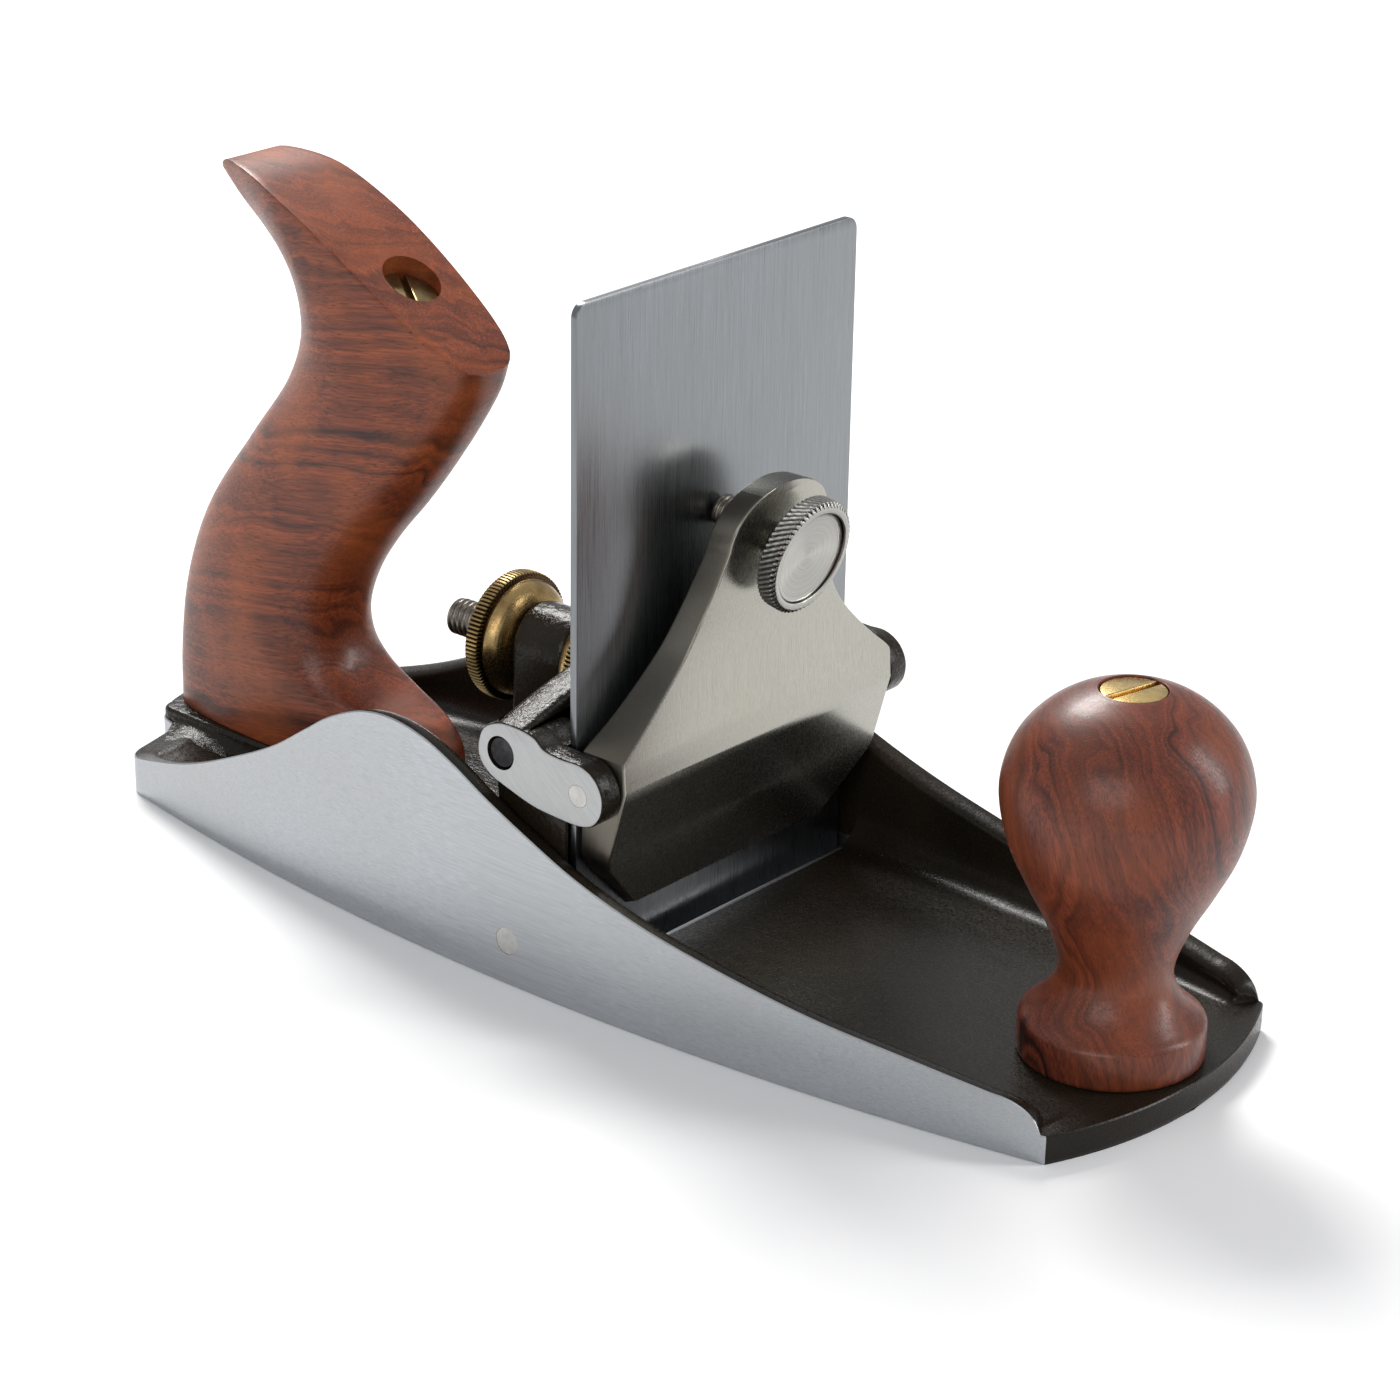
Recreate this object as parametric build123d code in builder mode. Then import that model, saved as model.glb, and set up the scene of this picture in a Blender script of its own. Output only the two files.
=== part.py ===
from build123d import *
from math import atan2, cos, degrees, radians, sin, tan
import os

# A cabinet scraping plane: an iron body with a tilting frog that holds a thick scraper blade.
# Millimetres. +X is forward to the toe, +Y is to the left, +Z is up. The origin is on the sole, on
# the middle line, and the blade's front face stands at x = blade_x.

# ---------------------------------------------------------------- driving dimensions
toe_x = 120.5
heel_x = -109.5
tongue_back = -118.8
tongue_half_width = 12.5
tongue_bend = 4.5
sole_half_width = 42.4
widest_x = 8.0
side_radius = 530.0
heel_corner_x = -106.0
toe_corner_x = 113.0
cheek = 4.0
floor_top = 5.3
cheek_peak = 42.4

blade_x = 16.0
blade_width = 73.0
blade_thickness = 1.4
blade_height = 124.0

pivot_x = blade_x - 10.9
pivot_z = 8.5
pivot_pin_radius = 2.5

ear_outer = 41.8
ear_inner = 37.0
cross_x = blade_x - 12.6
adjuster_z = 43.5
cross_rod_radius = 3.0
cap_pin_x = blade_x + 5.1
cap_pin_z = 40.7
cap_pin_radius = 2.0
running_clearance = 0.05

post_back = blade_x - 42.0
post_front = blade_x - 30.0
post_half_width = 7.8
post_arch_z = 44.0
rod_radius = 3.5
rod_back = blade_x - 62.4
nut_radius = 12.2
nut_rim = 3.4
nut_height = 7.5

clamp_lean = radians(12.0)
clamp_z = 75.7
clamp_front_x = blade_x + 21.0
clamp_radius = 2.9
wheel_radius = 10.4
wheel_thickness = 4.0

knob_x = blade_x + 87.3
knob_base_radius = 15.85
knob_top = 70.6
screw_head_radius = 5.5
stud_radius = 2.4

handle_half_thickness = 12.0
pedestal_top = 9.5
handle_screw_x = blade_x - 73.0
handle_screw_z = 105.2
handle_rod_lean = radians(20.0)


def side_half_width(x, inset=0.0):
    """Half width of the body at x: each side is one long arc, moved in by inset."""
    radius = side_radius - inset
    centre = side_radius - sole_half_width
    return (radius**2 - (x - widest_x) ** 2) ** 0.5 - centre


def mirror_y(x, y):
    """The same point on the right-hand side."""
    return (x, -y)


# The handle's rod leans forward, square to the middle of the sloping top.
rod_direction = Vector(sin(handle_rod_lean), 0, cos(handle_rod_lean))
handle_top = Vector(handle_screw_x, 0, handle_screw_z)
rod_length = (handle_screw_z - 2.0) / cos(handle_rod_lean)
rod_foot = handle_top - rod_direction * rod_length
rod_plane = Plane(origin=rod_foot, x_dir=(0, 1, 0), z_dir=rod_direction)

# ---------------------------------------------------------------- body casting
# The tray is the hollow that is taken out of the casting: it follows the sides, opens past the
# toe, and has a rounded bottom edge, which leaves a fillet between the floor and the cheeks.
tray_back = heel_x + 4.2
tray_front = toe_x + 30
tray_corner_x = -101.0

with BuildPart() as tray:
    with BuildSketch(Plane.XY.offset(floor_top)):
        with BuildLine():
            left_back = (tray_corner_x, side_half_width(tray_corner_x, cheek))
            left_mid = (widest_x, side_half_width(widest_x, cheek))
            left_front = (tray_front, side_half_width(tray_front, cheek))
            ThreePointArc(left_back, left_mid, left_front)
            Line(left_front, mirror_y(*left_front))
            ThreePointArc(mirror_y(*left_front), mirror_y(*left_mid), mirror_y(*left_back))
            ThreePointArc(mirror_y(*left_back), (tray_back, 0), left_back)
        make_face()
    extrude(amount=60)
    fillet(tray.edges().group_by(Axis.Z)[0], radius=5.5)

rim_points = [
    (-104.0, 7.8),
    (-82.7, 14.0),
    (-56.5, 26.5),
    (-40.0, 37.4),
    (-23.5, cheek_peak),
    (-8.0, 38.4),
    (10.0, 29.7),
    (35.4, 20.8),
    (70.0, 14.4),
    (103.0, 10.6),
]
toe_rim_end = (112.0, floor_top)
above = 70.0

mouth_back = blade_x - 8.5
mouth_front = blade_x + 3.5
recess_back = blade_x - 17.6
recess_floor = 2.7
bay_half_width = 38.2

# The heel runs nearly straight across, and a tongue under the handle stands out behind it.
bend_middle = tongue_bend * (1 - cos(radians(45)))
root_left = (heel_x, tongue_half_width + tongue_bend)
bend_left = (heel_x - bend_middle, tongue_half_width + bend_middle)
side_left = (heel_x - tongue_bend, tongue_half_width)
end_left = (tongue_back + 2.6, tongue_half_width)

with BuildPart() as plane_body:
    with BuildSketch(Plane.XY):
        with BuildLine():
            heel_left = (heel_corner_x, side_half_width(heel_corner_x))
            widest_left = (widest_x, sole_half_width)
            toe_left = (toe_corner_x, side_half_width(toe_corner_x))
            ThreePointArc(heel_left, widest_left, toe_left)
            ThreePointArc(toe_left, (toe_x, 0), mirror_y(*toe_left))
            ThreePointArc(mirror_y(*toe_left), mirror_y(*widest_left), mirror_y(*heel_left))
            Line(heel_left, root_left)
            ThreePointArc(root_left, bend_left, side_left)
            Line(side_left, end_left)
            ThreePointArc(end_left, (tongue_back, 0), mirror_y(*end_left))
            Line(mirror_y(*end_left), mirror_y(*side_left))
            ThreePointArc(mirror_y(*side_left), mirror_y(*bend_left), mirror_y(*root_left))
            Line(mirror_y(*root_left), mirror_y(*heel_left))
        make_face()
    extrude(amount=cheek_peak + 1)
    uprights = plane_body.edges().filter_by(Axis.Z)
    fillet(uprights.filter_by_position(Axis.X, heel_corner_x - 1, heel_corner_x + 1), radius=4)
    uprights = plane_body.edges().filter_by(Axis.Z)
    fillet(uprights.filter_by_position(Axis.X, tongue_back, tongue_back + 3), radius=3)
    # everything above the cheeks' rim
    with BuildSketch(Plane.XZ):
        with BuildLine():
            Line((-130, 7.3), (-108, 7.3))
            Spline((-108, 7.3), *rim_points, tangents=[(1, 0), (1, -0.1)])
            ThreePointArc(rim_points[-1], (109.0, 8.9), toe_rim_end)
            Line(toe_rim_end, (140, floor_top))
            Polyline((140, floor_top), (140, above), (-130, above), (-130, 7.3))
        make_face()
    extrude(amount=60, both=True, mode=Mode.SUBTRACT)
    add(tray.part, mode=Mode.SUBTRACT)
    # the handle's pedestal, which runs forward to the adjuster post
    with BuildSketch(Plane.XY.offset(floor_top - 1)):
        with BuildLine():
            front_left = (post_front, 11.0)
            Line(end_left, front_left)
            Line(front_left, mirror_y(*front_left))
            Line(mirror_y(*front_left), mirror_y(*end_left))
            ThreePointArc(mirror_y(*end_left), (tongue_back, 0), end_left)
        make_face()
    pedestal = extrude(amount=pedestal_top - floor_top + 1, mode=Mode.PRIVATE)
    uprights = pedestal.edges().filter_by(Axis.Z)
    add(pedestal.fillet(3, uprights.filter_by_position(Axis.X, tongue_back, tongue_back + 3)))
    # the adjuster post, with a round top
    with BuildSketch(Plane.YZ.offset(post_back)):
        with BuildLine():
            Line((-post_half_width, pedestal_top - 1), (-post_half_width, post_arch_z))
            ThreePointArc(
                (-post_half_width, post_arch_z),
                (0, post_arch_z + post_half_width),
                (post_half_width, post_arch_z),
            )
            Line((post_half_width, post_arch_z), (post_half_width, pedestal_top - 1))
            Line((post_half_width, pedestal_top - 1), (-post_half_width, pedestal_top - 1))
        make_face()
    extrude(amount=post_front - post_back)
    # the bay between the cheeks where the frog swings, the recess under it, and the mouth
    with BuildSketch(Plane.XY.offset(floor_top)):
        with Locations(((recess_back + mouth_front) / 2, 0)):
            Rectangle(mouth_front - recess_back, 2 * bay_half_width)
    extrude(amount=60, mode=Mode.SUBTRACT)
    with BuildSketch(Plane.XY.offset(recess_floor)):
        with Locations(((recess_back + mouth_back) / 2, 0)):
            Rectangle(mouth_back - recess_back, 2 * bay_half_width)
    extrude(amount=20, mode=Mode.SUBTRACT)
    with BuildSketch(Plane.XY):
        with Locations(((mouth_back + mouth_front) / 2, 0)):
            Rectangle(mouth_front - mouth_back, 2 * bay_half_width)
    extrude(amount=20, mode=Mode.SUBTRACT)
    # holes: frog pivot pins, adjuster rod, knob stud and handle stud
    with BuildSketch(Plane.XZ):
        with Locations((pivot_x, pivot_z)):
            Circle(pivot_pin_radius)
    extrude(amount=60, both=True, mode=Mode.SUBTRACT)
    with BuildSketch(Plane.YZ.offset(post_back - 1)):
        with Locations((0, adjuster_z)):
            Circle(rod_radius + 0.7)
    extrude(amount=post_front - post_back + 2, mode=Mode.SUBTRACT)
    with BuildSketch(Plane.XY.offset(1)):
        with Locations((knob_x, 0)):
            Circle(stud_radius)
    extrude(amount=10, mode=Mode.SUBTRACT)
    with BuildSketch(rod_plane):
        Circle(stud_radius)
    extrude(amount=20, mode=Mode.SUBTRACT)

# ---------------------------------------------------------------- front knob
with BuildPart() as front_knob:
    with BuildSketch(Plane.XZ):
        with BuildLine():
            foot = (knob_x, floor_top)
            Line(foot, (knob_x + knob_base_radius, floor_top))
            Line((knob_x + knob_base_radius, floor_top), (knob_x + knob_base_radius, 12.3))
            Spline(
                (knob_x + knob_base_radius, 12.3),
                (knob_x + 11.6, 15.8),
                (knob_x + 9.5, 21.0),
                (knob_x + 12.3, 29.5),
                (knob_x + 17.3, 38.5),
                (knob_x + 20.8, 51.5),
                (knob_x + 18.6, 61.5),
            )
            ThreePointArc((knob_x + 18.6, 61.5), (knob_x + 13.4, 67.6), (knob_x + 5.9, knob_top))
            Line((knob_x + 5.9, knob_top), (knob_x, knob_top))
            Line((knob_x, knob_top), foot)
        make_face()
    revolve(axis=Axis((knob_x, 0, 0), (0, 0, 1)))
    with BuildSketch(Plane.XY.offset(knob_top - 3.3)):
        with Locations((knob_x, 0)):
            Circle(screw_head_radius + 0.15)
    extrude(amount=10, mode=Mode.SUBTRACT)
    with BuildSketch(Plane.XY):
        with Locations((knob_x, 0)):
            Circle(3.8)
    extrude(amount=70, mode=Mode.SUBTRACT)


def cap_screw(plane, head_top, shank_length):
    """A round slotted brass screw: a flat head, a shank below it and a hole up the shank."""
    head_height = 3.0
    slot_width = 1.3
    slot_depth = 1.4
    shank_radius = 3.6
    with BuildPart() as screw:
        with BuildSketch(plane.offset(head_top - head_height)):
            Circle(screw_head_radius)
        extrude(amount=head_height)
        with BuildSketch(plane.offset(head_top - head_height - shank_length)):
            Circle(shank_radius)
        extrude(amount=shank_length)
        with BuildSketch(plane.offset(head_top - head_height - shank_length)):
            Circle(stud_radius)
        extrude(amount=shank_length - 2, mode=Mode.SUBTRACT)
        with BuildSketch(plane.offset(head_top - slot_depth)):
            Rectangle(slot_width, 2 * screw_head_radius + 1)
        extrude(amount=slot_depth + 1, mode=Mode.SUBTRACT)
    return screw.part


def stud(plane, length):
    """A plain steel stud with small chamfers at its ends."""
    with BuildPart() as rod:
        with BuildSketch(plane):
            Circle(stud_radius)
        extrude(amount=length)
        chamfer(rod.edges().filter_by(GeomType.CIRCLE), length=0.4)
    return rod.part


knob_plane = Plane(origin=(knob_x, 0, 1), x_dir=(1, -0.22, 0), z_dir=(0, 0, 1))
knob_screw_part = cap_screw(knob_plane, knob_top - 1.3, 14.0)
knob_stud_part = stud(knob_plane, 62.0)

# ---------------------------------------------------------------- rear handle
# Side outline of the handle, from the toe of its foot up the front, over the sloping top to the
# horn, and down the back to the heel of its foot.
handle_front_foot = (blade_x - 64.0, pedestal_top)
handle_back_foot = (blade_x - 133.3, pedestal_top)
handle_tip = (blade_x - 52.8, 92.8)
horn_tip = (blade_x - 117.6, 119.6)

with BuildPart() as rear_handle:
    with BuildSketch(Plane.XZ):
        with BuildLine():
            toe_top = (blade_x - 64.4, 15.0)
            Line(handle_front_foot, toe_top)
            Spline(
                toe_top,
                (blade_x - 72.0, 19.6),
                (blade_x - 83.5, 23.0),
                (blade_x - 89.8, 33.0),
                (blade_x - 84.5, 47.5),
                (blade_x - 73.0, 61.5),
                (blade_x - 61.0, 76.5),
                (blade_x - 54.6, 87.0),
                handle_tip,
            )
            Spline(
                handle_tip,
                (blade_x - 57.0, 96.0),
                (blade_x - 66.0, 101.8),
                (blade_x - 78.0, 109.3),
                (blade_x - 90.0, 115.8),
                (blade_x - 103.0, 120.6),
                (blade_x - 110.0, 121.5),
                (blade_x - 115.5, 120.9),
                horn_tip,
            )
            Spline(
                horn_tip,
                (blade_x - 111.5, 114.2),
                (blade_x - 104.5, 109.0),
                (blade_x - 98.4, 103.0),
                (blade_x - 96.3, 95.0),
                (blade_x - 98.6, 86.0),
                (blade_x - 111.0, 70.5),
                (blade_x - 124.0, 53.0),
                (blade_x - 131.0, 36.0),
                (blade_x - 133.4, 20.0),
                handle_back_foot,
            )
            Line(handle_back_foot, handle_front_foot)
        make_face()
    extrude(amount=handle_half_thickness, both=True)
    with BuildSketch(rod_plane):
        Circle(3.8)
    extrude(amount=rod_length + 20, mode=Mode.SUBTRACT)
    with BuildSketch(rod_plane.offset(rod_length - 5.0)):
        Circle(screw_head_radius + 0.15)
    extrude(amount=20, mode=Mode.SUBTRACT)

handle_screw_part = cap_screw(rod_plane.rotated((0, 0, -30)), rod_length - 2.0, 14.0)
handle_stud_part = stud(rod_plane, rod_length - 11.0)

# ---------------------------------------------------------------- frog
side_wall_inner = 32.0
side_wall_outer = 37.7
bed_back = blade_x - 5.4
bed_front = blade_x - blade_thickness - 0.05
bed_bottom = 3.6
bed_top = 44.0
web_back = blade_x - 13.5
web_front = blade_x - 6.9
boss_radius = 5.2
ear_radius = 5.6

with BuildPart() as frog:
    # two side walls from the pivot boss up to the ears
    with BuildSketch(Plane.XZ.offset(side_wall_inner)):
        with Locations((pivot_x, pivot_z)):
            Circle(boss_radius)
        with BuildLine():
            Polyline(
                (pivot_x - boss_radius, pivot_z),
                (blade_x - 18.0, 42.0),
                (blade_x - 14.5, 48.6),
                (web_front, 48.9),
                (bed_front, bed_top),
                (bed_front, bed_bottom),
                (pivot_x + 3.6, pivot_z - 3.6),
                (pivot_x - boss_radius, pivot_z),
            )
        make_face()
    extrude(amount=side_wall_outer - side_wall_inner)
    # ears: the outline is a straight bar with two round ends
    with BuildSketch(Plane.XZ.offset(side_wall_inner)):
        with Locations((cross_x, adjuster_z)):
            Circle(ear_radius)
        with Locations((cap_pin_x, cap_pin_z)):
            Circle(ear_radius)
        with BuildLine():
            Polyline(
                (cross_x, adjuster_z + ear_radius),
                (web_front, adjuster_z + ear_radius),
                (blade_x - 4.2, adjuster_z + 4.4),
                (blade_x - 0.5, adjuster_z + 3.0),
                (cap_pin_x, cap_pin_z + ear_radius),
                (cap_pin_x - 1.4, cap_pin_z - ear_radius + 0.1),
                (cross_x - 1.4, adjuster_z - ear_radius + 0.2),
                (cross_x, adjuster_z + ear_radius),
            )
        make_face()
    extrude(amount=ear_outer - side_wall_inner)
    mirror(about=Plane.XZ)
    # the bed behind the blade, and the cross beam at the pivot
    with BuildSketch(Plane.XY.offset(bed_bottom)):
        with Locations(((bed_back + bed_front) / 2, 0)):
            Rectangle(bed_front - bed_back, 2 * side_wall_outer)
    extrude(amount=bed_top - bed_bottom)
    with BuildSketch(Plane.XZ):
        with Locations((pivot_x, pivot_z)):
            Circle(boss_radius)
        with Locations((pivot_x + 5.5, pivot_z)):
            Rectangle(6.0, 7.0)
    extrude(amount=side_wall_outer, both=True)
    # the arched web that joins the ears behind the blade
    with BuildSketch(Plane.YZ.offset(web_back)):
        with BuildLine():
            ThreePointArc((-ear_outer, 49.1), (0, 56.5), (ear_outer, 49.1))
            Line((ear_outer, 49.1), (ear_outer, adjuster_z))
            Line((ear_outer, adjuster_z), (side_wall_inner, adjuster_z))
            ThreePointArc(
                (side_wall_inner, adjuster_z), (0, 52.4), (-side_wall_inner, adjuster_z)
            )
            Line((-side_wall_inner, adjuster_z), (-ear_outer, adjuster_z))
            Line((-ear_outer, adjuster_z), (-ear_outer, 49.1))
        make_face()
    extrude(amount=web_front - web_back)
    # the bay where the blade and the lever cap stand between the ears
    with BuildSketch(Plane.XY):
        with Locations((bed_front + 15, 0)):
            Rectangle(30, 2 * ear_inner)
    extrude(amount=70, mode=Mode.SUBTRACT)
    # holes for the pivot pins, the cross rod and the lever cap's pins
    with BuildSketch(Plane.XZ):
        with Locations((pivot_x, pivot_z)):
            Circle(pivot_pin_radius + running_clearance)
        with Locations((cross_x, adjuster_z)):
            Circle(cross_rod_radius)
        with Locations((cap_pin_x, cap_pin_z)):
            Circle(cap_pin_radius)
    extrude(amount=60, both=True, mode=Mode.SUBTRACT)


def cross_pin(x, z, radius, inner, outer, side):
    """A round pin along Y on one side of the plane: side is +1 for left and -1 for right."""
    with BuildPart() as pin:
        with BuildSketch(Plane.XZ.offset(-side * inner)):
            with Locations((x, z)):
                Circle(radius)
        extrude(amount=-side * (outer - inner))
        chamfer(pin.edges().filter_by(GeomType.CIRCLE).sort_by(Axis.Y)[0 if side > 0 else -1], 0.4)
    return pin.part


with BuildPart() as adjuster_cross_rod:
    with BuildSketch(Plane.XZ):
        with Locations((cross_x, adjuster_z)):
            Circle(cross_rod_radius)
    extrude(amount=ear_outer - 0.4, both=True)
    chamfer(adjuster_cross_rod.edges().filter_by(GeomType.CIRCLE), length=0.4)

# ---------------------------------------------------------------- adjuster rod and nuts
eye_radius = 5.6
eye_half_thickness = 4.5
slot_gap = 0.25
slot_drop = 1.7

with BuildPart() as adjuster_rod:
    with BuildSketch(Plane.XZ):
        with Locations((cross_x, adjuster_z - slot_drop / 2)):
            SlotOverall(2 * eye_radius + slot_drop, 2 * eye_radius, rotation=90)
    extrude(amount=eye_half_thickness, both=True)
    with BuildSketch(Plane.YZ.offset(rod_back)):
        with Locations((0, adjuster_z)):
            Circle(rod_radius)
    extrude(amount=cross_x - 3 - rod_back)
    chamfer(adjuster_rod.edges().filter_by(GeomType.CIRCLE).sort_by(Axis.X)[0], length=0.7)
    with BuildSketch(Plane.XZ):
        with Locations((cross_x, adjuster_z - slot_drop / 2)):
            slot_width = 2 * (cross_rod_radius + slot_gap)
            SlotOverall(slot_width + slot_drop, slot_width, rotation=90)
    extrude(amount=10, both=True, mode=Mode.SUBTRACT)


def adjuster_nut(seat_x, direction):
    """A domed nut that seats on the post at seat_x and grows away from it along direction."""
    rim_x = seat_x + direction * (nut_height - nut_rim)
    back_x = seat_x + direction * nut_height
    with BuildPart() as nut:
        with BuildSketch(Plane.XZ):
            with BuildLine():
                Line((seat_x, adjuster_z), (seat_x, adjuster_z + 7.2))
                ThreePointArc(
                    (seat_x, adjuster_z + 7.2),
                    (seat_x + direction * 2.3, adjuster_z + 9.4),
                    (rim_x, adjuster_z + 11.3),
                )
                Polyline(
                    (rim_x, adjuster_z + 11.3),
                    (rim_x + direction * 0.3, adjuster_z + nut_radius),
                    (back_x - direction * 0.4, adjuster_z + nut_radius),
                    (back_x, adjuster_z + nut_radius - 0.5),
                    (back_x, adjuster_z),
                    (seat_x, adjuster_z),
                )
            make_face()
        revolve(axis=Axis((0, 0, adjuster_z), (1, 0, 0)))
        with BuildSketch(Plane.YZ.offset(seat_x - direction)):
            with Locations((0, adjuster_z)):
                Circle(rod_radius + running_clearance)
        extrude(amount=direction * (nut_height + 2), mode=Mode.SUBTRACT)
    return nut.part


# ---------------------------------------------------------------- blade
with BuildPart() as blade:
    with BuildSketch(Plane.YZ.offset(blade_x - blade_thickness)):
        with Locations((0, blade_height / 2)):
            Rectangle(blade_width, blade_height)
    extrude(amount=blade_thickness)
    fillet(blade.edges().filter_by(Axis.X).group_by(Axis.Z)[-1], radius=2.5)
    # the 45 degree bevel on the back of the cutting edge
    chamfer(blade.edges().filter_by(Axis.Y).group_by(Axis.Z)[0].sort_by(Axis.X)[0], length=1.2)

# ---------------------------------------------------------------- lever cap
clamp_axis = Vector(cos(clamp_lean), 0, -sin(clamp_lean))
wheel_front = Vector(clamp_front_x, 0, clamp_z)
clamp_tip_gap = 0.5
clamp_length = (clamp_front_x - blade_x) / cos(clamp_lean) - clamp_tip_gap
clamp_plane = Plane(origin=wheel_front - clamp_axis * clamp_length, x_dir=(0, 1, 0), z_dir=clamp_axis)
cap_half_width = 36.6
cap_foot_half_width = 26.1

with BuildPart() as lever_cap:
    with BuildSketch(Plane.XZ):
        with BuildLine():
            cap_lip = (blade_x + 0.05, 13.2)
            cap_toe = (blade_x + 4.25, 15.1)
            cap_knee = (blade_x + 11.2, 41.0)
            cap_top_front = (blade_x + 15.4, 88.5)
            cap_top_back = (blade_x + 10.2, 88.5)
            Line(cap_lip, cap_toe)
            Line(cap_toe, cap_knee)
            Spline(
                cap_knee,
                (blade_x + 10.6, 57.0),
                (blade_x + 12.4, 72.0),
                cap_top_front,
                tangents=[(-0.05, 1), (0.2, 1)],
            )
            Line(cap_top_front, cap_top_back)
            Spline(
                cap_top_back,
                (blade_x + 8.0, 77.0),
                (blade_x + 4.6, 62.0),
                (blade_x + 2.6, 51.0),
                (blade_x + 1.1, 44.0),
                tangents=[(-0.2, -1), (-0.15, -1)],
            )
            Polyline(
                (blade_x + 1.1, 44.0),
                (blade_x + 1.1, 17.5),
                (blade_x + 0.05, 15.6),
                cap_lip,
            )
        make_face()
    extrude(amount=40, both=True)
    # front outline: wide at the pins, a round top and a tapered foot
    with BuildSketch(Plane.YZ):
        with BuildLine():
            Line((0, 12.0), (cap_foot_half_width - 2.4, 12.0))
            Line((cap_foot_half_width - 2.4, 12.0), (cap_half_width, 26.0))
            Line((cap_half_width, 26.0), (cap_half_width, 45.3))
            Spline(
                (cap_half_width, 45.3),
                (33.6, 48.6),
                (27.2, 54.2),
                (20.6, 61.5),
                (16.2, 69.5),
                (12.4, 78.5),
                tangents=[(0, 1), (-0.35, 1)],
            )
            ThreePointArc((12.4, 78.5), (8.4, 85.4), (0, 88.2))
            Line((0, 88.2), (0, 12.0))
        make_face()
        mirror(about=Plane.YZ)
    extrude(amount=60, mode=Mode.INTERSECT)
    fillet(lever_cap.edges().filter_by(Axis.Y).filter_by_position(Axis.Z, 40.5, 41.5), radius=3)
    # a blind hole in each side for the pins, and the threaded hole for the clamp screw
    for side in (-1, 1):
        with BuildSketch(Plane.XZ.offset(side * 29.5)):
            with Locations((cap_pin_x, cap_pin_z)):
                Circle(cap_pin_radius + running_clearance)
        extrude(amount=side * 10, mode=Mode.SUBTRACT)
    with BuildSketch(clamp_plane):
        Circle(clamp_radius + running_clearance)
    extrude(amount=40, mode=Mode.SUBTRACT)

# ---------------------------------------------------------------- clamp screw and wheel
shaft_length = clamp_length - 1.6

with BuildPart() as clamp_screw:
    with BuildSketch(clamp_plane):
        Circle(clamp_radius)
    extrude(amount=shaft_length)
    chamfer(clamp_screw.edges().filter_by(GeomType.CIRCLE).group_by(Axis.X)[0], length=1.0)

with BuildPart() as clamp_wheel:
    with BuildSketch(clamp_plane.offset(clamp_length - wheel_thickness)):
        Circle(wheel_radius)
    extrude(amount=wheel_thickness)
    chamfer(clamp_wheel.edges().filter_by(GeomType.CIRCLE), length=0.35)
    # a plain round recess in the front face
    with BuildSketch(clamp_plane.offset(clamp_length - 1.0)):
        Circle(wheel_radius - 1.6)
    extrude(amount=2, mode=Mode.SUBTRACT)
    with BuildSketch(clamp_plane.offset(clamp_length - wheel_thickness - 1)):
        Circle(clamp_radius)
    extrude(amount=shaft_length - clamp_length + wheel_thickness + 1, mode=Mode.SUBTRACT)

# ---------------------------------------------------------------- pins on both sides
pin_flush = sole_half_width - 0.05
parts = {
    "plane_body": plane_body.part,
    "front_knob": front_knob.part,
    "knob_screw": knob_screw_part,
    "knob_stud": knob_stud_part,
    "rear_handle": rear_handle.part,
    "handle_screw": handle_screw_part,
    "handle_stud": handle_stud_part,
    "frog": frog.part,
    "frog_pivot_pin_left": cross_pin(pivot_x, pivot_z, pivot_pin_radius, 30.0, pin_flush, 1),
    "frog_pivot_pin_right": cross_pin(pivot_x, pivot_z, pivot_pin_radius, 30.0, pin_flush, -1),
    "adjuster_cross_rod": adjuster_cross_rod.part,
    "adjuster_rod": adjuster_rod.part,
    "adjuster_nut_rear": adjuster_nut(post_back - 0.05, -1),
    "adjuster_nut_front": adjuster_nut(post_front + 0.05, 1),
    "blade": blade.part,
    "lever_cap": lever_cap.part,
    "lever_cap_pin_left": cross_pin(cap_pin_x, cap_pin_z, cap_pin_radius, 30.0, ear_outer, 1),
    "lever_cap_pin_right": cross_pin(cap_pin_x, cap_pin_z, cap_pin_radius, 30.0, ear_outer, -1),
    "clamp_screw": clamp_screw.part,
    "clamp_wheel": clamp_wheel.part,
}

os.makedirs("parts", exist_ok=True)
for name, part in parts.items():
    part.label = name
    export_step(part, f"parts/{name}.step")
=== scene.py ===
# %% [markdown]
# # A cabinet scraping plane
#
# An iron scraping plane stands on its flat sole. Its frog tilts on two pins in the cheeks and
# holds a thick upright blade under a steel lever cap, and two brass nuts set the angle. The
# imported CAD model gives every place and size. This lesson dresses it: most pieces are surfaces
# worked out with numpy from a few driving dimensions, and each finish is a node material.

import math

import bmesh
import bpy
import numpy as np
from mathutils import Matrix, Vector
from mathutils.geometry import tessellate_polygon


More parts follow.
